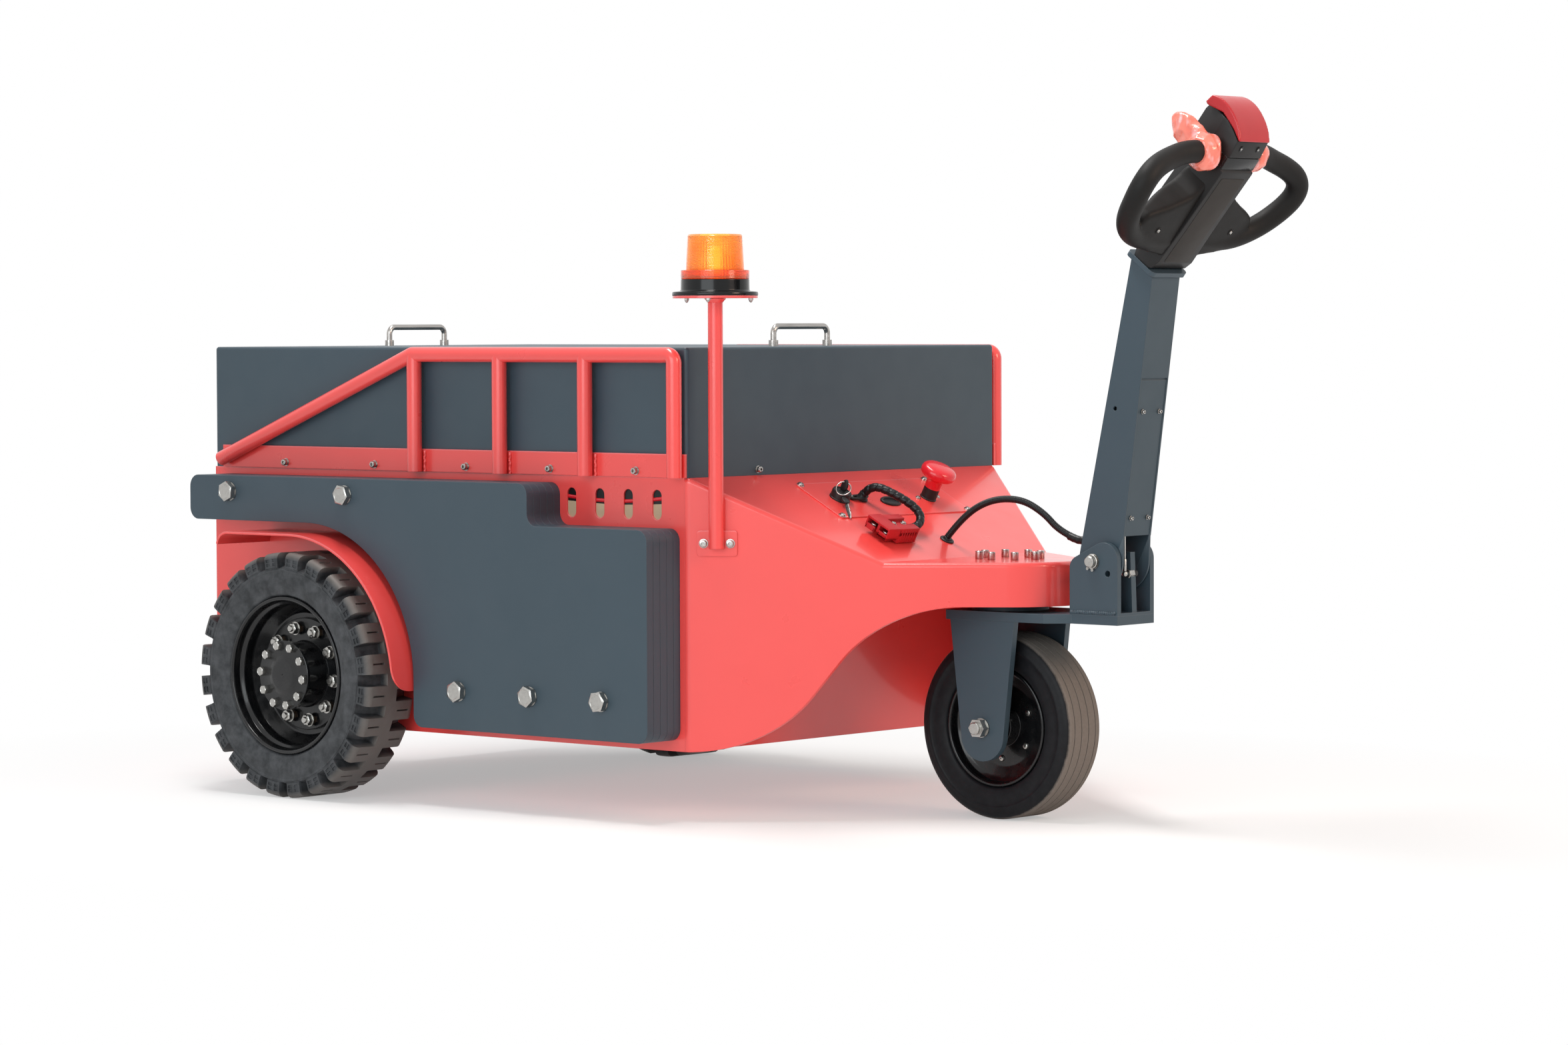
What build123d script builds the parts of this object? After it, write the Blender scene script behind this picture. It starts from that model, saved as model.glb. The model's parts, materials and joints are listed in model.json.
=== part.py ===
"""Walk-behind electric baggage tug: a red steel tub on two driven rear wheels,
steered by one front wheel under the nose through an upright tiller."""

import os
from math import asin, atan2, cos, degrees, radians, sin, tan

from build123d import *

os.makedirs("parts", exist_ok=True)

# ---- driving dimensions, mm: X forward, Y left, Z up, floor at Z 0 ----
rear_x = -606.68           # rear axle
wheelbase = 1140.0
steer_x = rear_x + wheelbase

body_back = rear_x - 309.0
body_front = rear_x + 796.0
nose_bend = 18.0           # outside radius where the side turns into the nose
body_half = 396.0          # half the body's width
body_bottom = 114.0
body_top = 552.0
sheet = 6.0                # body plate

cover_top = 760.0
cover_sheet = 3.0
cover_bend = 7.0
handle_span = 138.0        # between the feet of a cover handle
handle_rise = 38.0
handle_bar = 10.0

fold_x = rear_x + 1048.0   # where the sloped deck meets the flat platform
fold_half = 217.4
platform_z = 417.7
nose_bottom = 347.0
hood_sheet = 5.0
hood_round = 8.0           # of the edges round the deck and platform
wave_turn = 57.0           # of each arc of the side walls' lower edge
wave_straight = 70.0       # between the two arcs

guard_tube = 25.0
guard_y = 413.0
guard_strip_top = 590.0
guard_strip = 5.0
guard_top_z = 748.0
guard_posts = [rear_x + x for x in (200.0, 398.0, 590.0, 784.0)]
guard_heel_x = rear_x - 284.0

ballast_plates = 5
ballast_plate = 15.9
ballast_gap = 0.6
ballast_back = rear_x - 288.0
ballast_front = rear_x + 780.0
ballast_step_x = rear_x + 518.0
ballast_step_z = 471.0
ballast_top = 540.0
ballast_bottom = 131.0
ballast_arc = 256.0        # about the rear axle

fender_radius = 250.0
fender_z = 196.0
fender_outer = 517.0
fender_sheet = 4.0
fender_back = rear_x - 178.0

rear_radius = 207.5
rear_width = 113.0
rear_outer = 532.0         # outer face of a rear tyre
lug_count = 24             # on each shoulder, the two rows half a pitch apart
lug_gap = 19.0
lug_drop = 14.0            # floor of the gap below the tread, at the rib
rib_half = 8.0
front_radius = 150.0
front_width = 92.0
front_rim_radius = 98.0
groove_row = (-27.0, -9.0, 9.0, 27.0)

fork_outer = 75.0
fork_plate = 12.0
crown_bottom = 322.0
crown_plate = 15.0
crown_half = 77.0
crown_back = 77.0          # behind the steering axis
crown_shoulder = rear_x + 1265.0    # where it narrows to the tiller bracket
bracket_half = 48.5
bracket_plate = 10.0
bracket_floor = 4.0
bracket_back = rear_x + 1295.5
bracket_front = rear_x + 1389.0
bracket_top = 452.0

tilt_x = rear_x + 1341.5   # tiller hinge pin
tilt_z = 421.5
tilt_pin = 18.0
lever_half = 6.0

arm_half = 36.5
arm_wall = 4.0
cover_seam = 710.0         # top of the arm's lower front cover
head_x = rear_x + 1430.0   # centre of the flange between arm and head
head_z = 889.5
head_lean = 38.0           # of the head's length from upright, forward
head_half = 44.0

beacon_x = rear_x + 844.3
beacon_y = -380.8
beacon_plate_z = 838.0


def save(piece, name):
    piece.part.label = name
    export_step(piece.part, f"parts/{name}.step")


# ---- body: a tub of bent plate, open to the battery cover above ----
taper_angle = degrees(atan2(body_half - fold_half, fold_x - body_front))
shell_front = body_front - nose_bend * tan(radians(taper_angle / 2))
body_length = shell_front - body_back
body_mid = (shell_front + body_back) / 2
slot_row = [rear_x + x for x in (544.0, 606.5, 669.0, 731.5)]
axle_slot = 130.0

with BuildPart() as body_shell:
    with BuildSketch(Plane.XY.offset(body_bottom)):
        with Locations((body_mid, 0)):
            Rectangle(body_length, 2 * body_half)
    extrude(amount=body_top - body_bottom)
    with BuildSketch(Plane.XY.offset(body_bottom + sheet)):
        with Locations((body_mid, 0)):
            Rectangle(body_length - 2 * sheet, 2 * (body_half - sheet))
    extrude(amount=body_top - body_bottom, mode=Mode.SUBTRACT)
    # the floor stops ahead of the drive axle, which hangs in the open
    with BuildSketch(Plane.XY.offset(body_bottom)):
        with Locations((rear_x - 70, 0)):
            Rectangle(380, 2 * (body_half - sheet))
    extrude(amount=sheet, mode=Mode.SUBTRACT)
    with BuildSketch(Plane.XZ):
        with Locations((rear_x, body_bottom)):
            Rectangle(axle_slot, 160, align=(Align.CENTER, Align.MIN))
        with Locations((rear_x, body_bottom + 160)):
            Circle(axle_slot / 2)
        with Locations([(x, 508) for x in slot_row]):
            SlotOverall(48, 20, rotation=90)
    extrude(amount=body_half, both=True, mode=Mode.SUBTRACT)
    # upstand that the cover slips over
    with BuildSketch(Plane.XY.offset(body_top - 30)):
        with Locations((body_mid, 0)):
            Rectangle(body_length - 2 * sheet, 2 * (body_half - sheet))
            Rectangle(body_length - 4 * sheet, 2 * (body_half - 2 * sheet), mode=Mode.SUBTRACT)
    extrude(amount=62)
save(body_shell, "body_shell")

# ---- nose hood: tapered side walls, sloped deck, platform over the front wheel ----
taper_sin = sin(radians(taper_angle))
taper_cos = cos(radians(taper_angle))
nose_radius = (body_front - steer_x) * taper_sin + body_half * taper_cos
past_nose = steer_x + 300.0


def nose_plan(inset):
    """Plan of the nose, moved inward by inset."""
    bend = nose_bend - inset
    bend_end = (shell_front + bend * taper_sin, body_half - nose_bend + bend * taper_cos)
    radius = nose_radius - inset
    tip = (steer_x + radius * taper_sin, radius * taper_cos)
    with BuildLine() as outline:
        CenterArc((shell_front, body_half - nose_bend), bend, 90, -taper_angle)
        Line(bend_end, tip)
        ThreePointArc(tip, (steer_x + radius, 0), (tip[0], -tip[1]))
        Line((tip[0], -tip[1]), (bend_end[0], -bend_end[1]))
        CenterArc((shell_front, nose_bend - body_half), bend, taper_angle - 90, -taper_angle)
        Line((shell_front, inset - body_half), (shell_front, body_half - inset))
    return outline.edges()


def above_deck(drop):
    """Side profile of all that lies above the deck, moved down by drop."""
    shift = drop * tan(atan2(body_top - platform_z, fold_x - body_front) / 2)
    return [
        (shell_front - 10, body_top - drop),
        (body_front - shift, body_top - drop),
        (fold_x - shift, platform_z - drop),
        (past_nose, platform_z - drop),
        (past_nose, body_top + 100),
        (shell_front - 10, body_top + 100),
    ]


wave_start = (body_front, body_bottom)
turn = radians(wave_turn)
wave_radius = (nose_bottom - body_bottom - wave_straight * sin(turn)) / (2 * (1 - cos(turn)))
wave_a = (body_front + wave_radius * sin(turn), body_bottom + wave_radius * (1 - cos(turn)))
wave_b = (wave_a[0] + wave_straight * cos(turn), wave_a[1] + wave_straight * sin(turn))
wave_c = (wave_b[0] + wave_radius * sin(turn), nose_bottom)

with BuildPart() as nose_cavity:
    with BuildSketch(Plane.XY.offset(body_bottom - 1)):
        make_face(nose_plan(hood_sheet))
    extrude(amount=body_top - body_bottom)
    with BuildSketch(Plane.XZ):
        with BuildLine():
            Polyline(*above_deck(hood_sheet), close=True)
        make_face()
    extrude(amount=500, both=True, mode=Mode.SUBTRACT)

with BuildPart() as nose_hood:
    with BuildSketch(Plane.XY.offset(body_bottom)):
        make_face(nose_plan(0))
    extrude(amount=body_top - body_bottom)
    with BuildSketch(Plane.XZ):
        with BuildLine():
            Polyline(*above_deck(0), close=True)
        make_face()
    extrude(amount=500, both=True, mode=Mode.SUBTRACT)
    # folded edges round the deck and the platform
    tops = nose_hood.faces().filter_by(lambda f: f.normal_at().Z > 0.5 and f.center().X > body_front)
    folds = ShapeList(edge for face in tops for edge in face.edges()).filter_by(Axis.Y, reverse=True)
    fillet(folds, hood_round)
    add(nose_cavity.part, mode=Mode.SUBTRACT)
    with BuildSketch(Plane.XZ):
        with BuildLine():
            CenterArc((wave_start[0], body_bottom + wave_radius), wave_radius, -90, wave_turn)
            Line(wave_a, wave_b)
            CenterArc((wave_c[0], nose_bottom - wave_radius), wave_radius, 90, wave_turn)
            Polyline(wave_c, (past_nose, nose_bottom), (past_nose, body_bottom - 10),
                     (body_front, body_bottom - 10), wave_start)
        make_face()
    extrude(amount=500, both=True, mode=Mode.SUBTRACT)
save(nose_hood, "nose_hood")

# deck frame: x along the slope downhill, y to the left, z out of the deck
deck = Plane(origin=(body_front, 0, body_top), x_dir=(fold_x - body_front, 0, platform_z - body_top),
             z_dir=(body_top - platform_z, 0, fold_x - body_front))

panel_back, panel_front = 35.0, 147.0      # along the slope
panel_half = 168.0
panel_sheet = 2.0
with BuildPart() as control_panel:
    with BuildSketch(deck):
        with Locations(((panel_back + panel_front) / 2, 0)):
            RectangleRounded(panel_front - panel_back, 2 * panel_half, 6)
    extrude(amount=panel_sheet)
save(control_panel, "control_panel")

# ---- battery cover ----
with BuildPart() as battery_cover:
    with BuildSketch(Plane.XY.offset(body_top)):
        with Locations(((body_front + body_back) / 2, 0)):
            Rectangle(body_front - body_back, 2 * body_half)
    extrude(amount=cover_top - body_top)
    fillet(battery_cover.edges().filter_by(Axis.Z), cover_bend)
    fillet(battery_cover.faces().sort_by(Axis.Z)[-1].edges(), cover_bend - 2)
    offset(amount=-cover_sheet, openings=battery_cover.faces().sort_by(Axis.Z)[0])
save(battery_cover, "battery_cover")

for name, x in (("cover_handle_rear", rear_x - 208.0), ("cover_handle_front", rear_x + 697.0)):
    half = handle_span / 2
    top = cover_top + handle_rise - handle_bar / 2
    with BuildPart() as handle:
        with BuildLine(Plane.YZ.offset(x)) as path:
            FilletPolyline((-half, cover_top), (-half, top), (half, top), (half, cover_top), radius=12)
        with BuildSketch(Plane(origin=(x, -half, cover_top), z_dir=(0, 0, 1))):
            Circle(handle_bar / 2)
        sweep(path=path.wires()[0])
        with BuildSketch(Plane.XY.offset(cover_top)):
            with Locations((x, -half), (x, half)):
                Circle(8)
        extrude(amount=10)
    save(handle, name)

# ---- guards: strip and tube frame on each side of the cover ----
for name, side in (("guard_right", -1), ("guard_left", 1)):
    tube = guard_tube / 2
    with BuildPart() as guard:
        with BuildSketch(Plane.XZ.offset(-side * body_half)):
            with Locations(((guard_heel_x + body_front) / 2, (body_top + guard_strip_top) / 2)):
                Rectangle(body_front - guard_heel_x, guard_strip_top - body_top)
        extrude(amount=-side * guard_strip)
        rail_y = side * guard_y
        with BuildLine() as path:
            FilletPolyline(
                (guard_heel_x + 8, rail_y, body_top + 14),
                (guard_posts[0] - 4, rail_y, guard_top_z),
                (guard_posts[-1], rail_y, guard_top_z),
                (guard_posts[-1], rail_y, body_top),
                radius=13,
            )
        first = path.wires()[0]
        with BuildSketch(Plane(origin=first @ 0, z_dir=first % 0)):
            Circle(tube)
        sweep(path=first)
        with BuildSketch(Plane.XY.offset(body_top)):
            with Locations([(x, rail_y) for x in guard_posts[:-1]]):
                Circle(tube)
        extrude(amount=guard_top_z - body_top)
    save(guard, name)

# ---- ballast: bolted steel plates, arched over each rear wheel ----
axle_z = rear_radius


def ballast_outline(inset):
    """Side outline of one plate, shrunk by inset."""
    radius = ballast_arc + inset
    corner = 20 - inset
    back = ballast_back + inset
    front = ballast_front - inset
    low = ballast_bottom + inset
    high = ballast_top - inset
    with BuildLine() as outline:
        FilletPolyline(
            (rear_x + radius, low + 60), (rear_x + radius, low), (front, low),
            (front, ballast_step_z - inset), (ballast_step_x - inset, ballast_step_z - inset),
            (ballast_step_x - inset, high), (back, high), (back, axle_z + radius),
            (rear_x - 60, axle_z + radius), radius=corner,
        )
        Line((rear_x - 60, axle_z + radius), (rear_x, axle_z + radius))
        CenterArc((rear_x, axle_z), radius, 90, -90)
        Line((rear_x + radius, axle_z), (rear_x + radius, low + 60))
    return outline.edges()


for name, side in (("ballast_right", -1), ("ballast_left", 1)):
    with BuildPart() as ballast:
        inner = body_half
        for layer in range(ballast_plates):
            with BuildSketch(Plane.XZ.offset(-side * (inner + layer * ballast_plate))):
                make_face(ballast_outline(0))
            extrude(amount=-side * (ballast_plate - ballast_gap))
            if layer < ballast_plates - 1:
                start = inner + (layer + 1) * ballast_plate - ballast_gap
                with BuildSketch(Plane.XZ.offset(-side * start)):
                    make_face(ballast_outline(1.2))
                extrude(amount=-side * ballast_gap)
    save(ballast, name)

# ---- fenders: one strip rolled over each rear wheel ----
front_angle = degrees(asin((190.0 - fender_z) / fender_radius))
for name, side in (("fender_right", -1), ("fender_left", 1)):
    mid = fender_radius - fender_sheet / 2
    with BuildPart() as fender:
        with BuildSketch(Plane.XZ.offset(-side * body_half)):
            with BuildLine():
                CenterArc((rear_x, fender_z), mid, front_angle, 90 - front_angle)
                Line((rear_x, fender_z + mid), (fender_back + 26, fender_z + mid))
                CenterArc((fender_back + 26, fender_z + mid - 24), 24, 90, 80)
            trace(line_width=fender_sheet)
        extrude(amount=-side * (fender_outer - body_half))
    save(fender, name)

# ---- inside the tub ----
with BuildPart() as battery_pack:
    with BuildSketch(Plane.XY.offset(body_bottom + sheet)):
        with Locations((rear_x + 470, 0)):
            Rectangle(600, 720)
    extrude(amount=560)
save(battery_pack, "battery_pack")

with BuildPart() as drive_axle:
    with BuildSketch(Plane.XZ):
        with Locations((rear_x, axle_z)):
            Circle(42)
    extrude(amount=405, both=True)
    with BuildSketch(Plane.YZ.offset(rear_x - 95)):
        with Locations((0, axle_z)):
            Circle(85)
    extrude(amount=190)
    # brake plate and spindle on each side
    for side in (-1, 1):
        with BuildSketch(Plane.XZ.offset(-side * 400)):
            with Locations((rear_x, axle_z)):
                Circle(100)
        extrude(amount=-side * 14)
        with BuildSketch(Plane.XZ.offset(-side * 405)):
            with Locations((rear_x, axle_z)):
                Circle(20)
        extrude(amount=-side * 84)
save(drive_axle, "drive_axle")

jaw_z = 330.0
jaw_gap = 60.0
jaw_plate = 16.0
jaw_bore = 26.0
with BuildPart() as tow_jaw:
    with BuildSketch(Plane.YZ.offset(body_back)):
        with Locations((0, jaw_z)):
            RectangleRounded(180, 150, 12)
    extrude(amount=-14)
    for low in (jaw_z - jaw_gap / 2 - jaw_plate, jaw_z + jaw_gap / 2):
        with BuildSketch(Plane.XY.offset(low)):
            with Locations((body_back - 30, 0)):
                Rectangle(44, 110)
            with Locations((body_back - 49, 0)):
                Circle(45)
        extrude(amount=jaw_plate)
    with Locations((body_back - 56, 0, jaw_z)):
        Hole(jaw_bore / 2, depth=200)
save(tow_jaw, "tow_jaw")

# ---- beacon ----
wall_normal = (sin(radians(taper_angle)), -cos(radians(taper_angle)))
with BuildPart() as beacon_post:
    with BuildSketch(Plane.XY.offset(440)):
        with Locations((beacon_x, beacon_y)):
            Circle(12)
    extrude(amount=beacon_plate_z - 440)
    with BuildSketch(Plane.XY.offset(beacon_plate_z)):
        with Locations((beacon_x, beacon_y)):
            Circle(67.5)
    extrude(amount=4)
    # foot plate flat on the tapered wall
    foot_reach = 15.5
    foot_plane = Plane(origin=(beacon_x, beacon_y, 448), x_dir=(wall_normal[1], -wall_normal[0], 0),
                       z_dir=(-wall_normal[0], -wall_normal[1], 0))
    with BuildSketch(foot_plane.offset(foot_reach - 4)):
        RectangleRounded(65, 41, 5)
    extrude(amount=3.9)
save(beacon_post, "beacon_post")
with BuildPart() as beacon_base:
    with BuildSketch(Plane.XY.offset(beacon_plate_z + 4)):
        with Locations((beacon_x, beacon_y)):
            Circle(68.5)
    extrude(amount=6.5)
    with BuildSketch(Plane.XY.offset(beacon_plate_z + 10.5)):
        with Locations((beacon_x, beacon_y)):
            Circle(54.5)
    extrude(amount=20)
save(beacon_base, "beacon_base")
with BuildPart() as beacon_lens:
    with BuildSketch(Plane.XY.offset(beacon_plate_z + 30.5)):
        with Locations((beacon_x, beacon_y)):
            Circle(54.5)
    extrude(amount=14)
    with BuildSketch(Plane.XY.offset(beacon_plate_z + 44.5)):
        with Locations((beacon_x, beacon_y)):
            Circle(49.5)
    extrude(amount=57, taper=3)
save(beacon_lens, "beacon_lens")

# ---- deck fittings, in the deck's frame ----
stop_at = (107.0, 97.0)
stop_head = 60.0           # height of the mushroom's crown
with BuildPart() as stop_button:
    for radius, low, high in ((13, 0, 22), (15.5, 22, 38), (27.5, 38, stop_head)):
        with BuildSketch(deck.offset(panel_sheet + low)):
            with Locations(stop_at):
                Circle(radius)
        extrude(amount=high - low)
    out_of_deck = Axis((body_front, 0, body_top), deck.z_dir)
    fillet(stop_button.edges().filter_by(GeomType.CIRCLE).sort_by(out_of_deck)[-1], 9)
    widest = stop_button.edges().filter_by(GeomType.CIRCLE).sort_by(SortBy.RADIUS)[-2:]
    fillet(widest.sort_by(Axis.Z)[0], 4)
save(stop_button, "stop_button")

key_at = (84.0, -107.0)
with BuildPart() as key_switch:
    with BuildSketch(deck.offset(panel_sheet)):
        with Locations(key_at):
            Circle(17.5)
    extrude(amount=16)
    with BuildSketch(deck.offset(panel_sheet + 16)):
        with Locations(key_at):
            Rectangle(16, 3)
    extrude(amount=24)
save(key_switch, "key_switch")

connector_at = (209.0, -114.0)
connector_slope = 50.0     # down the deck's slope
connector_long = 78.0
connector_high = 26.0
mouth_size = (17.0, 13.0)
fin_row = (12.0, 18.5, 25.0, 31.5)
with BuildPart() as charge_connector:
    with BuildSketch(deck):
        with Locations(connector_at):
            Rectangle(connector_slope, connector_long)
            # the grip at the cable end is narrower
            with Locations([(side * connector_slope / 2, connector_long / 2) for side in (-1, 1)]):
                Rectangle(10, 52, mode=Mode.SUBTRACT)
    extrude(amount=connector_high)
    # finger grooves across the grip
    with BuildSketch(deck.offset(connector_high)):
        with Locations([(connector_at[0], connector_at[1] + y) for y in fin_row]):
            Rectangle(60, 3)
    extrude(amount=-3, mode=Mode.SUBTRACT)
    # two contact mouths
    mouth_foot = Vector(connector_at[0], connector_at[1] - connector_long / 2, 0)
    mouth = Plane(origin=deck.from_local_coords(mouth_foot), x_dir=deck.x_dir, z_dir=(0, -1, 0))
    with BuildSketch(mouth):
        with Locations([(x, connector_high / 2) for x in (-12, 12)]):
            Rectangle(mouth_size[0], mouth_size[1])
    extrude(amount=-24, mode=Mode.SUBTRACT)
save(charge_connector, "charge_connector")


def deck_point(along, y, out):
    return deck.from_local_coords(Vector(along, y, out))


def cord(points, diameter):
    """Round cord through points, each corner an arc as large as its two runs allow."""
    radii = []
    for before, corner, after in zip(points, points[1:], points[2:]):
        into = corner - before
        out = after - corner
        half_turn = radians(into.get_angle(out)) / 2
        radii.append(0.45 * min(into.length, out.length) / tan(half_turn))
    with BuildPart() as piece:
        with BuildLine() as path:
            FilletPolyline(*points, radius=radii)
        wire = path.wires()[0]
        with BuildSketch(Plane(origin=wire @ 0, z_dir=wire % 0)):
            Circle(diameter / 2)
        sweep(path=wire)
    return piece


lead_route = [(94, -63, 2), (95, -63, 34), (150, -48, 40), (190, -28, 31), (209, -44, 13), (209, -75, 13)]
save(cord([deck_point(*p) for p in lead_route], 12), "charge_lead")

conduit_route = [(999, 11, 446), (1034, 10, 483), (1092, 7, 512), (1157, 4, 515), (1205, 2, 494),
                 (1240, 0, 464), (1277, 0, 452)]
conduit_points = [Vector(rear_x + x, y, z) for x, y, z in conduit_route]
save(cord(conduit_points, 11), "control_conduit")

# ---- steering: bearing, crown, fork and tiller bracket turn about the steering axis ----
ring_bottom = crown_bottom + crown_plate
with BuildPart() as bearing_ring:
    with BuildSketch(Plane.XY.offset(ring_bottom + 9)):
        with Locations((steer_x, 0)):
            Circle(72)
            Circle(20.05, mode=Mode.SUBTRACT)
    extrude(amount=platform_z - hood_sheet - ring_bottom - 9)
save(bearing_ring, "bearing_ring")

with BuildPart() as fork:
    with BuildSketch(Plane.XY.offset(crown_bottom)):
        with BuildLine():
            Polyline(
                (steer_x - crown_back, crown_half - 6), (steer_x - crown_back + 6, crown_half),
                (crown_shoulder, crown_half), (bracket_back + 4, bracket_half),
                (bracket_front, bracket_half), (bracket_front, -bracket_half),
                (bracket_back + 4, -bracket_half), (crown_shoulder, -crown_half),
                (steer_x - crown_back + 6, -crown_half), (steer_x - crown_back, 6 - crown_half),
                close=True,
            )
        make_face()
    extrude(amount=crown_plate)
    with BuildSketch(Plane.XY.offset(ring_bottom)):
        with Locations((steer_x, 0)):
            Circle(62)
    extrude(amount=8)
    with BuildSketch(Plane.XY.offset(ring_bottom + 8)):
        with Locations((steer_x, 0)):
            Circle(20)
    extrude(amount=50)
    foot_z = 139.0
    foot = 43.0
    cheek = 64.5
    for side in (-1, 1):
        with BuildSketch(Plane.XZ.offset(-side * (fork_outer - fork_plate))):
            with BuildLine():
                Polyline((steer_x - cheek, crown_bottom), (steer_x + cheek, crown_bottom),
                         (steer_x + foot, foot_z), (steer_x - foot, foot_z), close=True)
            make_face()
            with Locations((steer_x, foot_z)):
                Circle(foot)
            with Locations((steer_x, front_radius)):
                Circle(10, mode=Mode.SUBTRACT)
        extrude(amount=-side * fork_plate)
save(fork, "fork")

with BuildPart() as front_axle:
    with BuildSketch(Plane.XZ):
        with Locations((steer_x, front_radius)):
            Circle(10)
    extrude(amount=98, both=True)
    chamfer(front_axle.edges().filter_by(GeomType.CIRCLE), 1.5)
    for side in (-1, 1):
        with BuildSketch(Plane.XZ.offset(-side * fork_outer)):
            with Locations((steer_x, front_radius)):
                Circle(15.5)
        extrude(amount=-side * 3)
        with BuildSketch(Plane.XZ.offset(-side * (fork_outer + 3))):
            with Locations((steer_x, front_radius)):
                RegularPolygon(13.5, 6, major_radius=False)
        extrude(amount=-side * 13)
save(front_axle, "front_axle")

ball_x = tilt_x + 38.5     # stud the gas spring's rod sits on
ball_z = tilt_z - 19.5
ball_y = -16.7
with BuildPart() as tiller_bracket:
    for side in (-1, 1):
        with BuildSketch(Plane.XZ.offset(-side * (bracket_half - bracket_plate))):
            with Locations((bracket_back + 20, 410)):
                Circle(20)
            with Locations((bracket_front - 27.5, bracket_top - 27.5)):
                Circle(27.5)
            with Locations(((bracket_back + bracket_front) / 2, ring_bottom)):
                Rectangle(bracket_front - bracket_back, 60, align=(Align.CENTER, Align.MIN))
            make_hull()
            with Locations((tilt_x, tilt_z)):
                Circle(tilt_pin / 2, mode=Mode.SUBTRACT)
            with Locations((rear_x + 1370, 403)):
                Circle(5, mode=Mode.SUBTRACT)
        extrude(amount=-side * bracket_plate)
    # floor welded across the cheeks, and the middle plate that carries the ball stud
    with BuildSketch(Plane.XY.offset(ring_bottom)):
        with Locations(((bracket_back + bracket_front) / 2, 0)):
            Rectangle(bracket_front - bracket_back, 2 * bracket_half)
    extrude(amount=bracket_floor)
    with BuildSketch(Plane.XZ.offset(-lever_half)):
        with BuildLine():
            Polyline((tilt_x + 18, ring_bottom), (bracket_front - 2, ring_bottom),
                     (bracket_front - 6, ball_z + 34), (ball_x - 12, ball_z + 34), close=True)
        make_face()
    extrude(amount=2 * lever_half)
    with BuildSketch(Plane.XZ.offset(lever_half)):
        with Locations((ball_x, ball_z)):
            Circle(3)
    extrude(amount=-ball_y - lever_half - 6)
    with BuildSketch(Plane.XZ.offset(lever_half)):
        with Locations((ball_x, ball_z)):
            RegularPolygon(4.5, 6, major_radius=False)
    extrude(amount=3)
save(tiller_bracket, "tiller_bracket")

with BuildPart() as tiller_pin:
    with BuildSketch(Plane.XZ.offset(-bracket_half - 12.5)):
        with Locations((tilt_x, tilt_z)):
            Circle(tilt_pin / 2)
    extrude(amount=2 * bracket_half + 25)
    chamfer(tiller_pin.edges().filter_by(GeomType.CIRCLE), 1.5)
    # washer and ring on each end
    for side in (-1, 1):
        for radius, out, thick in ((12.5, 0, 2), (11.0, 3.5, 1.5)):
            with BuildSketch(Plane.XZ.offset(-side * (bracket_half + out))):
                with Locations((tilt_x, tilt_z)):
                    Circle(radius)
            extrude(amount=-side * thick)
save(tiller_pin, "tiller_pin")

# ---- tiller: arm and control head tilt about the pin ----
arm_low_back = (tilt_x - 35, tilt_z + 11)
arm_low_front = (tilt_x + 50.5, tilt_z + 40.5)
head_up = (sin(radians(head_lean)), cos(radians(head_lean)))
head_out = (cos(radians(head_lean)), -sin(radians(head_lean)))


def head_point(u, n):
    """X and Z of a point u along the head and n out of its front face."""
    return (head_x + u * head_up[0] + n * head_out[0], head_z + u * head_up[1] + n * head_out[1])


arm_top_back = head_point(-4, -24)
arm_top_front = head_point(-4, 26)
with BuildPart() as tiller_arm:
    with BuildSketch(Plane.XZ):
        with BuildLine():
            Polyline(arm_low_back, (tilt_x - 20, tilt_z - 26), (tilt_x + 20, tilt_z - 26), arm_low_front,
                     arm_top_front, arm_top_back, close=True)
        make_face()
    extrude(amount=arm_half, both=True)
    # hollow, open at the foot
    with BuildSketch(Plane.XZ):
        with BuildLine():
            Polyline(
                (tilt_x - 60, tilt_z - 60), (tilt_x + 90, tilt_z - 60), (tilt_x + 90, arm_low_front[1]),
                (arm_low_front[0] - arm_wall, arm_low_front[1]),
                (arm_top_front[0] - arm_wall, arm_top_front[1] - 3),
                (arm_top_back[0] + arm_wall, arm_top_back[1] - 3),
                (arm_low_back[0] + arm_wall, arm_low_back[1]), (tilt_x - 60, arm_low_back[1]), close=True,
            )
        make_face()
    extrude(amount=arm_half - arm_wall, both=True, mode=Mode.SUBTRACT)
    with BuildSketch(Plane.XZ):
        with Locations((tilt_x, tilt_z)):
            Circle(tilt_pin / 2 + 0.05)
    extrude(amount=arm_half + 5, both=True, mode=Mode.SUBTRACT)
    # the lower cover lies a little behind the front face, with a joint above it
    front_slope = (arm_top_front[0] - arm_low_front[0]) / (arm_top_front[1] - arm_low_front[1])
    with BuildSketch(Plane.XZ):
        with BuildLine():
            steps = ((arm_low_front[1] - 5, -1.2), (cover_seam - 3, -1.2), (cover_seam - 3, -2.5),
                     (cover_seam, -2.5), (cover_seam, 5), (arm_low_front[1] - 5, 5))
            Polyline(*[(arm_low_front[0] + front_slope * (z - arm_low_front[1]) + out, z) for z, out in steps],
                     close=True)
        make_face()
    extrude(amount=arm_half - 3, both=True, mode=Mode.SUBTRACT)
    with BuildSketch(Plane.XZ):
        with Locations((rear_x + 1376, 662.5)):
            Circle(3.5)
    extrude(amount=arm_half + 5, both=True, mode=Mode.SUBTRACT)
    with BuildSketch(Plane(origin=(head_x, 0, head_z), x_dir=(head_out[0], 0, head_out[1]),
                           z_dir=(head_up[0], 0, head_up[1])).offset(-4)):
        RectangleRounded(62, 94, 10)
    extrude(amount=8)
save(tiller_arm, "tiller_arm")

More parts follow.
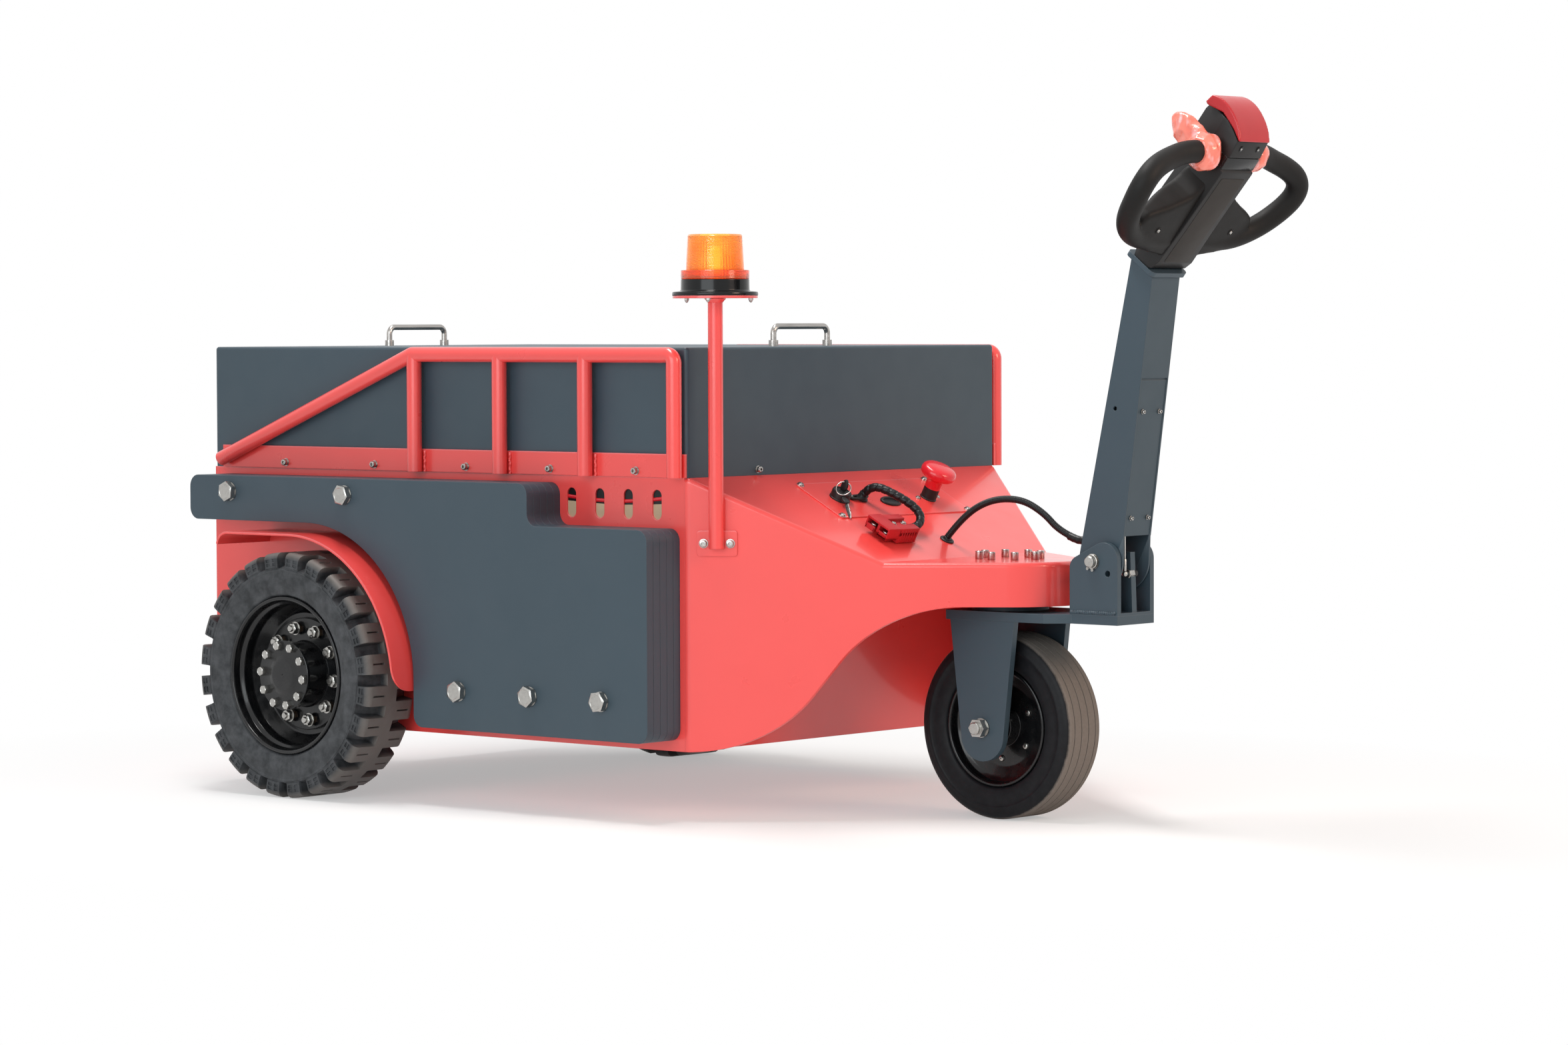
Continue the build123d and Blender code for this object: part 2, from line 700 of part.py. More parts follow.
# gas spring: barrel held inside the arm, rod down to the ball stud
barrel_top = tilt_z + 235.0
barrel_low = tilt_z + 84.0
spring_x = (ball_x + tilt_x + 37) / 2
with BuildPart() as spring_barrel:
    with BuildSketch(Plane.XY.offset(barrel_low)):
        with Locations((spring_x, ball_y)):
            Circle(7.5)
            Circle(4.0, mode=Mode.SUBTRACT)
    extrude(amount=barrel_top - barrel_low)
    with BuildSketch(Plane.XY.offset(barrel_top)):
        with Locations((spring_x, ball_y)):
            Circle(7.5)
    extrude(amount=12)
    with BuildSketch(Plane.XZ.offset(-ball_y)):
        with Locations((spring_x, barrel_top + 6)):
            Circle(4)
    extrude(amount=arm_half - arm_wall + ball_y)
save(spring_barrel, "spring_barrel")

with BuildPart() as spring_rod:
    with Locations((ball_x, ball_y, ball_z)):
        Sphere(6)
    with BuildSketch(Plane.XY.offset(ball_z + 3)):
        with Locations((spring_x, ball_y)):
            Circle(4.5)
    extrude(amount=18)
    with BuildSketch(Plane.XY.offset(ball_z + 20)):
        with Locations((spring_x, ball_y)):
            Circle(3)
    extrude(amount=barrel_low + 40 - ball_z - 20)
save(spring_rod, "spring_rod")

head_frame = Plane(origin=(head_x, 0, head_z), x_dir=(head_up[0], 0, head_up[1]), z_dir=(0, 1, 0))
# the head's front face seen square on: x up the head, y across it
head_face = Plane(origin=(head_x, 0, head_z), x_dir=(head_up[0], 0, head_up[1]),
                  z_dir=(head_out[0], 0, head_out[1]))
wing_back, wing_front = -18.0, 27.0
wing_end = (85.4, 160.0)   # where a grip meets its wing, up and across the head
end_rise, end_run = 12.6, 16.8   # half the slanted end face of a wing
panel_recess = 1.5
with BuildPart() as head_housing:
    with BuildSketch(head_frame):
        with BuildLine():
            Polyline((4, -18), (84, -50), (150, -46), (240, -59), (266, -56), (275, -20), (266, 12),
                     (257, 30), (231, 33), (228, 30), (205, 31), (203, 36), (165, 36), (10, 22), (4, 16),
                     close=True)
        make_face()
    extrude(amount=head_half, both=True)
    # long bevels on the back of the upper block
    for side in (-1, 1):
        with BuildSketch(Plane(origin=(head_x, 0, head_z), x_dir=(head_out[0], 0, head_out[1]),
                               z_dir=(head_up[0], 0, head_up[1])).offset(-5)):
            with BuildLine():
                Polyline((-13, side * (head_half + 0.1)), (-75, side * 20), (-75, side * 60), (-13, side * 60),
                         close=True)
            make_face()
        extrude(amount=320, mode=Mode.SUBTRACT)
    # wings that carry the lower ends of the grips
    with BuildSketch(head_face.offset(wing_back)):
        with BuildLine():
            Polyline((46, -head_half), (53, -110), (wing_end[0] - end_rise, -wing_end[1] - end_run),
                     (wing_end[0] + end_rise, end_run - wing_end[1]), (165, -head_half), (165, head_half),
                     (wing_end[0] + end_rise, wing_end[1] - end_run),
                     (wing_end[0] - end_rise, wing_end[1] + end_run), (53, 110), (46, head_half), close=True)
        make_face()
    extrude(amount=wing_front - wing_back)
    # each wing thins toward its grip
    for side in (-1, 1):
        with BuildSketch(Plane(origin=(head_x, 0, head_z), x_dir=(head_out[0], 0, head_out[1]),
                               z_dir=(head_up[0], 0, head_up[1]))):
            with BuildLine():
                Polyline((wing_back - 0.1, side * head_half), (5, side * 180), (-60, side * 180),
                         (-60, side * head_half), close=True)
            make_face()
        extrude(amount=200, mode=Mode.SUBTRACT)
    chamfer(head_housing.faces().sort_by(Axis((head_x, 0, head_z), (head_out[0], 0, head_out[1])))[0].edges(), 1)
    # inset panel down the front
    front_low = head_face.from_local_coords(Vector(10, 0, 22))
    front_high = head_face.from_local_coords(Vector(165, 0, 36))
    front_run = front_high - front_low
    with BuildSketch(Plane(origin=front_low, x_dir=front_run, z_dir=front_run.cross(Vector(0, 1, 0)))):
        with Locations((90, 0)):
            RectangleRounded(165, 56, 5)
    extrude(amount=-panel_recess, mode=Mode.SUBTRACT)
save(head_housing, "head_housing")

button_half = 40.0
with BuildPart() as belly_button:
    with BuildSketch(head_frame):
        with BuildLine():
            Spline((285, -53), (291, -27), (283, 4), (272, 22), (259, 34))
            Polyline((259, 34), (257.5, 30.5), (266.5, 12.4), (275.5, -20), (267.5, -52), (270, -57),
                     (285, -53))
        make_face()
    extrude(amount=button_half, both=True)
save(belly_button, "belly_button")

loop_tube = 17.5
loop_path = [(216, 5, 44.1), (216, 5, 122), (198, 17, 206), (113, 23, 209), (60, 14, 110)]
for name, side in (("grip_right", -1), ("grip_left", 1)):
    points = []
    for u, n, y in loop_path:
        x, z = head_point(u, n)
        points.append((x, side * y, z))
    with BuildPart() as grip:
        with BuildLine() as path:
            FilletPolyline(*points, radius=[32, 32, 28])
        wire = path.wires()[0]
        with BuildSketch(Plane(origin=wire @ 0, z_dir=wire % 0)):
            Circle(loop_tube)
        sweep(path=wire, transition=Transition.ROUND)
        end_x, end_z = head_point(wing_end[0], 0)
        split(bisect_by=Plane(origin=(end_x, side * wing_end[1], end_z),
                              z_dir=(end_run * head_up[0], side * end_rise, end_run * head_up[1])),
              keep=Keep.TOP)
    save(grip, name)

knob_inner, knob_outer = 46.0, 72.0
for name, side in (("speed_knob_right", -1), ("speed_knob_left", 1)):
    with BuildPart() as knob:
        with BuildSketch(head_frame.offset(side * knob_inner)):
            # round collar with a long thumb paddle behind
            with Locations((214, 2)):
                Circle(28)
            with Locations((210, -60), (230, -66)):
                Circle(9)
            make_hull()
            with Locations((238, 20)):
                Circle(11)
            with Locations((216, 5)):
                Circle(loop_tube + 0.3, mode=Mode.SUBTRACT)
        extrude(amount=side * (knob_outer - knob_inner))
    save(knob, name)

# ---- wheels: profiles are radius against distance across, turned about the axle ----
def turned(centre, side, outer, profile):
    """Solid turned about the wheel's axle from (radius, depth behind the outer face) pairs."""
    x, z = centre
    points = [(x + radius, side * (outer - depth)) for radius, depth in profile]
    with BuildPart() as piece:
        with BuildSketch(Plane.XY.offset(z)):
            with BuildLine():
                Polyline(*points, close=True)
            make_face()
        revolve(axis=Axis((x, 0, z), (0, 1, 0)))
    return piece


rear_tyre_profile = [(134.5, 9), (138, 5), (150, 3), (152, 1.5), (176, 1), (179, 0), (198, 0), (204, 3),
                     (207.5, 11)]
rear_tyre_profile += [(radius, rear_width - depth) for radius, depth in reversed(rear_tyre_profile)]
rear_rim_profile = [(134, 9), (132, 5), (128, 5), (126, 9), (126, 18), (120, 24), (120, 40), (111, 51), (104, 60),
                    (56.7, 60), (56.7, 68), (114, 68), (122, 80), (122, 96), (128, 104), (134, 104)]
rear_hub_profile = [(0, 1), (30, 1), (34, 3.5), (59, 3.5), (59, 10), (55, 12), (55, 54), (95, 54), (95, 59.9),
                    (56.5, 59.9), (56.5, 110), (20.3, 110), (20.3, 40), (0, 40)]

# one gap between two lugs: floor falling from the centre rib to the shoulder
floor_in = Vector(rear_radius - lug_drop, 0, rib_half + 3)
floor_out = Vector(rear_radius - 2 * lug_drop, 0, rear_width / 2 + 2)
floor_run = floor_out - floor_in
with BuildPart() as lug_gap_tool:
    with BuildSketch(Plane(origin=floor_in, x_dir=floor_run, z_dir=(floor_run.Z, 0, -floor_run.X))):
        with BuildLine():
            Polyline((0, -lug_gap / 2 + 5), (5, -lug_gap / 2 + 1), (60, -lug_gap / 2 - 1),
                     (60, lug_gap / 2 + 1), (5, lug_gap / 2 - 1), (0, lug_gap / 2 - 5), close=True)
        make_face()
    extrude(amount=40)

for name, side in (("right", -1), ("left", 1)):
    wheel_y = side * (rear_outer - rear_width / 2)
    wheel = Plane(origin=(rear_x, wheel_y, axle_z), x_dir=(1, 0, 0), z_dir=(0, 1, 0))
    with BuildPart() as tyre:
        add(turned((rear_x, axle_z), side, rear_outer, rear_tyre_profile).part)
        with Locations(wheel):
            with PolarLocations(0, lug_count):
                add(lug_gap_tool.part, mode=Mode.SUBTRACT)
            with PolarLocations(0, lug_count, start_angle=180 / lug_count):
                add(lug_gap_tool.part.mirror(Plane.XY), mode=Mode.SUBTRACT)
    save(tyre, f"rear_tyre_{name}")
    save(turned((rear_x, axle_z), side, rear_outer, rear_rim_profile), f"rear_rim_{name}")
    save(turned((rear_x, axle_z), side, rear_outer, rear_hub_profile), f"rear_hub_{name}")

half = front_width / 2
shoulder = [(front_rim_radius + 0.5, 8), (103, 3), (112, 1.2), (128, 1.2), (130, 0), (134, 0), (143, 2.5),
            (148, 6.5), (150, 11)]
edge = list(shoulder)
for y in groove_row:
    edge += [(150, half + y - 1.2), (145.5, half + y - 0.6), (145.5, half + y + 0.6), (150, half + y + 1.2)]
edge += [(radius, front_width - depth) for radius, depth in reversed(shoulder)]
save(turned((steer_x, front_radius), -1, half, edge), "front_tyre")
front_rim_profile = [(98, 9), (96.5, 5), (93, 5), (91, 9), (91, 20), (84, 24), (66, 29), (32, 29), (32, 6), (24, 4),
                     (10.3, 4), (10.3, 88), (24, 88), (32, 86), (32, 63), (66, 63), (84, 68), (91, 72), (91, 83),
                     (93, 87), (96.5, 87), (98, 83)]
save(turned((steer_x, front_radius), -1, half, front_rim_profile), "front_rim")
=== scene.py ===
import json
import math

import bmesh
import bpy
from mathutils import Matrix, Vector, noise

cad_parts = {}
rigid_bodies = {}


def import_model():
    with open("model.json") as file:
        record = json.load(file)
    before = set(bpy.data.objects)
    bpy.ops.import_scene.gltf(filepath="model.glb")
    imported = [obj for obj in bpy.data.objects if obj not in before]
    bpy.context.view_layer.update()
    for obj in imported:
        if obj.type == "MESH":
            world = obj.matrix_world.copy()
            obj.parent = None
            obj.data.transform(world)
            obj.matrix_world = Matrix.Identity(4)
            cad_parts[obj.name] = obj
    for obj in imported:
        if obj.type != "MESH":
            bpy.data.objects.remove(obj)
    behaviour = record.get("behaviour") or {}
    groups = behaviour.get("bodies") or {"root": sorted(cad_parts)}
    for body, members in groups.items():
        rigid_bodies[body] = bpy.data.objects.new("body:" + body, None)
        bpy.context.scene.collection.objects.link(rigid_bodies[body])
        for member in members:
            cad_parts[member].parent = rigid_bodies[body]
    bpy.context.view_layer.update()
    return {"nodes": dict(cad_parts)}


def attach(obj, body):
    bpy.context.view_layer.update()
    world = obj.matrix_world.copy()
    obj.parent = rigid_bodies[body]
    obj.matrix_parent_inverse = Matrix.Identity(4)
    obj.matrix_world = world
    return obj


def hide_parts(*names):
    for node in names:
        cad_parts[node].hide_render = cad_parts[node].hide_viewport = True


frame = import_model()
print("frame loaded", len(frame["nodes"]), "nodes")

mm = 0.001
scene = bpy.context.scene


def fromScreen(*levels):  # a colour as it looks on screen, 0 to 255, made linear
    shares = [level / 255 for level in levels]
    return (*[share / 12.92 if share <= 0.04045 else ((share + 0.055) / 1.055) ** 2.4 for share in shares], 1.0)


def placed(name, data):  # an object in the scene
    obj = bpy.data.objects.new(name, data)
    scene.collection.objects.link(obj)
    return obj


# ---------- camera

view = {
    "place": (5097.9, -5873.9, 799.3),  # mm
    "turn": 40.66,  # degrees to the right of the machine's side view
    "dip": 2.48,  # degrees below level
    "roll": 0.20,
    "lens": 106.11,  # mm, on a 36 mm wide film
}


def addCamera():
    data = bpy.data.cameras.new("viewCamera")
    data.lens = view["lens"]
    data.sensor_width = 36
    data.clip_end = 60
    matrix = Matrix.Translation(Vector(view["place"]) * mm)
    for degrees, axis in ((view["turn"], "Z"), (90 - view["dip"], "X"), (-view["roll"], "Z")):
        matrix = matrix @ Matrix.Rotation(math.radians(degrees), 4, axis)
    camera = placed("viewCamera", data)
    camera.matrix_world = matrix
    scene.camera = camera


addCamera()
scene.view_settings.view_transform = "Standard"


# ---------- the machine's own frames, mm

machine = {
    "rearX": -606.68,  # rear axle
    "rearZ": 207.5,
    "steerX": 1140.0,  # these are ahead of the rear axle
    "frontZ": 150.0,
    "tiltX": 1341.5,
    "tiltZ": 421.5,
}


def rel(x, y, z):  # x ahead of the rear axle
    return Vector((machine["rearX"] + x, y, z))


class Frame:  # a place with its own directions, mm
    def __init__(self, origin, first, second, third):
        self.origin = origin
        self.axes = [Vector(axis).normalized() for axis in (first, second, third)]

    def at(self, a, b, c):
        return self.origin + self.way(a, b, c)

    def way(self, a, b, c):
        return self.axes[0] * a + self.axes[1] * b + self.axes[2] * c


up, left, ahead = Vector((0, 0, 1)), Vector((0, 1, 0)), Vector((1, 0, 0))
hands = ((-1, "Right"), (1, "Left"))  # which side of the middle, and its name
deckDown = Vector((252.0, 0, -134.3)).normalized()
deckOut = Vector((-deckDown.z, 0, deckDown.x))
deck = Frame(rel(796, 0, 552), deckDown, left, deckOut)
lean = math.radians(38)  # of the control head
headUp = Vector((math.sin(lean), 0, math.cos(lean)))
headOut = Vector((math.cos(lean), 0, -math.sin(lean)))
head = Frame(rel(1430, 0, 889.5), headUp, left, headOut)


# ---------- nodes of materials and trees

def addNode(tree, kind, settings=None, sockets=None):
    made = tree.nodes.new(kind)
    for name, value in (settings or {}).items():
        setattr(made, name, value)
    for key, value in (sockets or {}).items():
        if isinstance(value, Wire):
            value = value.socket
        if isinstance(value, bpy.types.NodeSocket):
            tree.links.new(value, made.inputs[key])
        else:
            made.inputs[key].default_value = value
    return made


class Wire:  # one socket of a tree, so that its maths reads as a formula
    def __init__(self, tree, socket):
        self.tree = tree
        self.socket = socket

    def maths(self, operation, first, second):
        made = addNode(self.tree, "ShaderNodeMath", {"operation": operation}, {0: first, 1: second})
        return Wire(self.tree, made.outputs[0])

    def __add__(self, other):
        return self.maths("ADD", self, other)

    def __sub__(self, other):
        return self.maths("SUBTRACT", self, other)

    def __rsub__(self, other):
        return self.maths("SUBTRACT", other, self)

    def __mul__(self, other):
        return self.maths("MULTIPLY", self, other)

    def __truediv__(self, other):
        return self.maths("DIVIDE", self, other)

    def __pow__(self, other):
        return self.maths("POWER", self, other)

    def most(self, other):
        return self.maths("MAXIMUM", self, other)


class Paint:  # one material being made
    def __init__(self, name, **constants):
        self.material = bpy.data.materials.new(name)
        self.material.use_nodes = True
        self.tree = self.material.node_tree
        self.tree.nodes.clear()
        self.shader = addNode(self.tree, "ShaderNodeBsdfPrincipled")
        self.output = addNode(self.tree, "ShaderNodeOutputMaterial", None, {0: self.shader.outputs[0]})
        for socket, value in constants.items():
            self.shader.inputs[socket.replace("_", " ")].default_value = value

    def node(self, kind, settings=None, sockets=None, out=0):
        return Wire(self.tree, addNode(self.tree, kind, settings, sockets).outputs[out])

    def place(self):  # object coordinates, metres
        return self.node("ShaderNodeTexCoord", out="Object")

    def part(self, axis):  # one object coordinate, mm
        return self.node("ShaderNodeSeparateXYZ", None, {0: self.place()}, axis) * 1000

    def noise(self, size, detail=3.0, roughness=0.5, stretch=None):  # size of one patch, mm
        where = self.place()
        if stretch:
            where = self.node("ShaderNodeMapping", None, {"Vector": where, "Scale": stretch})
        sockets = {"Vector": where, "Scale": 1000 / size, "Detail": detail, "Roughness": roughness}
        return self.node("ShaderNodeTexNoise", {"noise_dimensions": "3D"}, sockets)

    def ramp(self, factor, low, high):  # 0 below low, 1 above high
        sockets = {"Value": factor, "From Min": low, "From Max": high}
        return self.node("ShaderNodeMapRange", {"clamp": True}, sockets)

    def mix(self, factor, first, second):  # colours are wires or levels on screen
        first, second = (colour if isinstance(colour, Wire) else fromScreen(*colour) for colour in (first, second))
        return self.node("ShaderNodeMix", {"data_type": "RGBA"}, {0: factor, 6: first, 7: second}, 2)

    def edge(self, radius):  # normal turned round at sharp edges, mm
        return self.node("ShaderNodeBevel", {"samples": 4}, {"Radius": radius * mm})

    def bump(self, height, distance, strength, under=None):  # distance in mm
        sockets = {"Height": height, "Distance": distance * mm, "Strength": strength}
        if under:
            sockets["Normal"] = under
        return self.node("ShaderNodeBump", None, sockets)

    def fold(self, radius):  # 1 along folds and edges that face up, where a highlight is painted in place of the sky light that would gather there
        bent = self.edge(radius)
        flat = self.node("ShaderNodeNewGeometry", out="Normal")
        same = self.node("ShaderNodeVectorMath", {"operation": "DOT_PRODUCT"}, {0: bent, 1: flat}, "Value")
        rise = self.node("ShaderNodeSeparateXYZ", None, {0: bent}, "Z")
        return self.ramp(1 - same, 0.02, 0.22) * self.ramp(rise, 0.15, 0.75)

    def away(self, x, z):  # distance from an axle that lies across the machine, mm
        x, z = self.part("X") - (machine["rearX"] + x), self.part("Z") - z
        return (x * x + z * z) ** 0.5

    def feed(self, **wires):
        for socket, wire in wires.items():
            self.tree.links.new(wire.socket, self.shader.inputs[socket.replace("_", " ")])
        return self.material


# ---------- finishes: colours are levels on screen, sizes are mm

# each fold colour is a painted highlight, laid along folds and edges that face up
coral = {"body": (240, 78, 75), "shade": (232, 69, 66), "fold": (255, 176, 182), "patch": 260, "foldWide": 5.0,
         "foldShare": 0.55, "wear": 60, "rough": (0.27, 0.08), "grain": (4.5, 2, 0.06, 0.5), "edge": 1.6}
slate = {"body": (54, 71, 82), "shade": (47, 64, 74), "fold": (132, 142, 148), "patch": 320, "foldWide": 2.5,
         "foldShare": 0.4, "wear": 45, "rough": (0.42, 0.10), "grain": (1.4, 3, 0.05, 0.6), "edge": 1.2}
rubber = {"dark": (36, 39, 42), "dusty": (78, 80, 83), "tread": (126, 119, 113), "scrubbed": (110, 104, 98),
          "wall": (20, 21, 24), "wallHigh": (30, 31, 34)}


def makeSheetPaint(name, spec, **coat):  # paint on folded sheet, with a highlight painted along its folds
    paint = Paint(name, Specular_IOR_Level=0.5, **coat)
    colour = paint.mix(paint.noise(spec["patch"], 2), spec["shade"], spec["body"])
    # painted highlight: a pale colour laid along folds and edges that face up
    colour = paint.mix(paint.fold(spec["foldWide"]) * spec["foldShare"], colour, spec["fold"])
    low, rise = spec["rough"]
    roughness = paint.ramp(paint.noise(spec["wear"], 4), 0.3, 0.7) * rise + low
    size, detail, depth, strength = spec["grain"]
    grain = paint.bump(paint.noise(size, detail), depth, strength, paint.edge(spec["edge"]))
    return paint.feed(Base_Color=colour, Roughness=roughness, Normal=grain)


def makeBlackGloss():
    paint = Paint("blackGlossPaint", Coat_Weight=0.25, Coat_Roughness=0.08, Specular_IOR_Level=0.3)
    dust = paint.ramp(paint.noise(25, 5), 0.45, 0.75)
    colour = paint.mix(dust * 0.25, (14, 15, 17), (46, 45, 44))
    peel = paint.bump(paint.noise(6, 2), 0.06, 0.4, paint.edge(1.0))
    return paint.feed(Base_Color=colour, Roughness=dust * 0.2 + 0.2, Normal=peel)


def makeTyre():
    paint = Paint("tyreRubber", Specular_IOR_Level=0.35)
    dust = paint.ramp(paint.noise(18, 6, 0.6), 0.35, 0.75)
    colour = paint.mix(dust, rubber["dark"], rubber["dusty"])
    rim = paint.ramp(paint.away(0, machine["rearZ"]), 197, 206)
    colour = paint.mix(rim * 0.55, colour, rubber["tread"])
    skin = paint.bump(paint.noise(1.6, 4), 0.12, 0.5)
    return paint.feed(Base_Color=colour, Roughness=dust * 0.2 + 0.5, Normal=skin)


def makeWornTyre():  # the tread is scrubbed grey, the sidewall stays dark
    paint = Paint("wornTyreRubber", Specular_IOR_Level=0.15)
    scuff = paint.noise(14, 6, 0.65)
    worn = paint.ramp(paint.away(machine["steerX"], machine["frontZ"]) + scuff * 3, 148.2, 150.6)
    tread = paint.mix(paint.noise(4, 5), rubber["scrubbed"], rubber["tread"])
    wall = paint.mix(paint.ramp(scuff, 0.4, 0.8), rubber["wall"], rubber["wallHigh"])
    skin = paint.bump(paint.noise(2.2, 5), 0.15, 0.5)
    return paint.feed(Base_Color=paint.mix(worn, wall, tread), Roughness=worn * 0.35 + 0.45, Normal=skin)


def makeStainless():
    paint = Paint("stainlessSteel", Metallic=1.0)
    # painted reflection: the base colour runs in dark and bright streaks that stand for what the steel mirrors; the
    # roughness follows the same streaks
    paintedReflectionStreak = paint.noise(3, 3, 0.5, (1, 0.06, 1))
    colour = paint.mix(paintedReflectionStreak, (128, 124, 120), (206, 202, 198))
    return paint.feed(Base_Color=colour, Roughness=paintedReflectionStreak * 0.12 + 0.16)


def makeZinc(name, tone):
    paint = Paint(name, Metallic=1.0)
    patch = paint.noise(5, 4)
    colour = paint.mix(patch, [int(level * 0.82) for level in tone], tone)
    skin = paint.bump(paint.noise(0.8, 2), 0.03, 0.4)
    return paint.feed(Base_Color=colour, Roughness=patch * 0.25 + 0.18, Normal=skin)


def makeCasting():
    paint = Paint("blackCasting")
    colour = paint.mix(paint.noise(40, 4), (28, 29, 30), (44, 44, 44))
    skin = paint.bump(paint.noise(1.2, 4), 0.2, 0.6)
    return paint.feed(Base_Color=colour, Roughness=paint.noise(12, 3) * 0.2 + 0.5, Normal=skin)


def makePlastic(name, low, high, roughness, grain, coat=0.0, gloss=0.3):
    paint = Paint(name, Coat_Weight=coat, Specular_IOR_Level=gloss)
    colour = paint.mix(paint.noise(70, 3), low, high)
    skin = paint.bump(paint.noise(grain, 2), 0.05, 0.5, paint.edge(1.2))
    return paint.feed(Base_Color=colour, Roughness=paint.noise(20, 3) * 0.12 + roughness, Normal=skin)


def makeFilm():  # crinkled pink film still round the speed knobs
    paint = Paint("pinkFilm", Coat_Weight=0.8, Coat_Roughness=0.06)
    crease = paint.noise(22, 4, 0.5)
    # pale streaks: painted highlight lines on the film
    paintedReflectionStreak = paint.ramp(paint.noise(16, 2, 0.5, (1, 1, 0.35)), 0.55, 0.66)
    colour = paint.mix(crease, (244, 104, 84), (252, 148, 128))
    colour = paint.mix(paintedReflectionStreak * 0.6, colour, (255, 196, 200))
    return paint.feed(Base_Color=colour, Roughness=crease * 0.15 + 0.14, Normal=paint.bump(crease, 0.6, 0.35))


def makeAmber():
    paint = Paint("amberLens", Transmission_Weight=0.55, IOR=1.49, Coat_Weight=0.4)
    depth = paint.ramp(paint.noise(30, 2), 0.3, 0.7)
    colour = paint.mix(depth, (255, 178, 84), (255, 196, 104))
    foot = paint.ramp(paint.part("Z") + paint.noise(20, 2), 885, 882)  # the plain band glows deeper
    colour = paint.mix(foot, colour, (244, 96, 22))
    return paint.feed(Base_Color=colour, Roughness=paint.noise(10, 2) * 0.08 + 0.1)


def makeLamp():
    paint = Paint("beaconLamp", Emission_Strength=3.5)
    glow = paint.mix(paint.noise(12, 3), (255, 190, 60), (255, 226, 110))
    return paint.feed(Base_Color=glow, Emission_Color=glow, Roughness=paint.noise(6, 2) * 0.2 + 0.3)


def makeInside():  # the battery pack under the cover
    paint = Paint("insideFittings")
    band = paint.ramp(paint.noise(60, 1), 0.44, 0.5)
    colour = paint.mix(band, (36, 36, 38), (150, 128, 104))
    return paint.feed(Base_Color=colour, Roughness=paint.noise(10, 2) * 0.2 + 0.5)


finishes = {
    "coral": makeSheetPaint("coralPaint", coral, Coat_Weight=0.5, Coat_Roughness=0.1),
    "slate": makeSheetPaint("slatePaint", slate),
    "blackGloss": makeBlackGloss(),
    "tyre": makeTyre(),
    "wornTyre": makeWornTyre(),
    "stainless": makeStainless(),
    "zinc": makeZinc("zincPlate", (190, 188, 184)),
    "oiledSteel": makeZinc("oiledStud", (150, 122, 100)),
    "casting": makeCasting(),
    "plastic": makePlastic("blackPlastic", (20, 20, 21), (34, 34, 35), 0.36, 0.9),
    "headPlastic": makePlastic("headPlastic", (24, 24, 25), (34, 33, 33), 0.42, 1.1),
    "panelPlastic": makePlastic("headPanelPlastic", (46, 45, 44), (56, 54, 52), 0.5, 1.0, gloss=0.2),
    "gripRubber": makePlastic("gripRubber", (20, 20, 20), (29, 28, 27), 0.5, 0.8, gloss=0.2),
    "cord": makePlastic("cordSheath", (12, 13, 15), (22, 23, 25), 0.28, 2.5),
    "beaconBlack": makePlastic("beaconBlack", (6, 8, 10), (14, 16, 18), 0.14, 6.0, 0.2, 0.2),
    "board": makePlastic("fibreBoard", (178, 152, 124), (204, 180, 150), 0.7, 3.0),
    "red": makePlastic("redPlastic", (206, 22, 36), (224, 34, 48), 0.2, 5.0, 0.5),
    "buttonRed": makePlastic("buttonRed", (176, 32, 38), (194, 44, 50), 0.28, 1.4, 0.3),
    "connectorRed": makePlastic("connectorRed", (170, 26, 34), (190, 40, 46), 0.42, 1.2),
    "film": makeFilm(),
    "amber": makeAmber(),
    "lamp": makeLamp(),
    "inside": makeInside(),
}

nodeFinish = {  # the nodes that are shown as they are
    "coral": "body_shell nose_hood control_panel guard_right guard_left beacon_post",
    "slate": "battery_cover ballast_right ballast_left fork tiller_bracket tiller_arm",
    "stainless": "cover_handle_rear cover_handle_front",
    "zinc": "front_axle tiller_pin",
    "casting": "drive_axle bearing_ring tow_jaw",
    "inside": "battery_pack",
    "plastic": "spring_barrel",
}
for finish, names in nodeFinish.items():
    for name in names.split():
        mesh = frame["nodes"][name].data
        mesh.materials.clear()
        mesh.materials.append(finishes[finish])
print("finishes made", len(finishes))


# ---------- making pieces

def settle(obj, finish, body, smooth=40):  # material, shading, and the body that it rides on
    mesh = obj.data
    mesh.materials.clear()
    mesh.materials.append(finishes[finish])
    shaded(mesh, smooth)
    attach(obj, body)
    return obj


def shaded(mesh, smooth):  # smooth, with edges sharp past this many degrees
    mesh.shade_smooth()
    mesh.set_sharp_from_angle(angle=math.radians(smooth))


def faceOutward(obj):
    shell = bmesh.new()
    shell.from_mesh(obj.data)
    bmesh.ops.remove_doubles(shell, verts=shell.verts, dist=1e-6)
    bmesh.ops.recalc_face_normals(shell, faces=shell.faces)
    shell.to_mesh(obj.data)
    shell.free()


def plainMesh(name, verts, edges=(), faces=()):  # verts in mm
    mesh = bpy.data.meshes.new(name)
    mesh.from_pydata([Vector(vert) * mm for vert in verts], edges, faces)
    return mesh


def makeMesh(name, shape, finish, body, smooth=40):  # shape is a closed form's verts, in mm, and faces
    mesh = plainMesh(name, shape[0], faces=shape[1])
    mesh.validate()
    obj = settle(placed(name, mesh), finish, body, smooth)
    faceOutward(obj)
    return obj


def grownMesh(obj):  # the plain mesh that an object's modifiers make
    return bpy.data.meshes.new_from_object(obj.evaluated_get(bpy.context.evaluated_depsgraph_get()))


def softened(obj, width, segments, angle=None):  # a piece with its edges bevelled, mm
    bevel = obj.modifiers.new("soften", "BEVEL")
    bevel.width = width * mm
    bevel.segments = segments
    if angle:
        bevel.limit_method = "ANGLE"
        bevel.angle_limit = math.radians(angle)
    mesh = grownMesh(obj)
    obj.modifiers.remove(bevel)
    obj.data = mesh
    shaded(mesh, 40)
    return obj


def standsFor(obj, node):
    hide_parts(node)
    return obj


def circle(count):  # cosine and sine of equal steps round
    return [(math.cos(2 * math.pi * k / count), math.sin(2 * math.pi * k / count)) for k in range(count)]


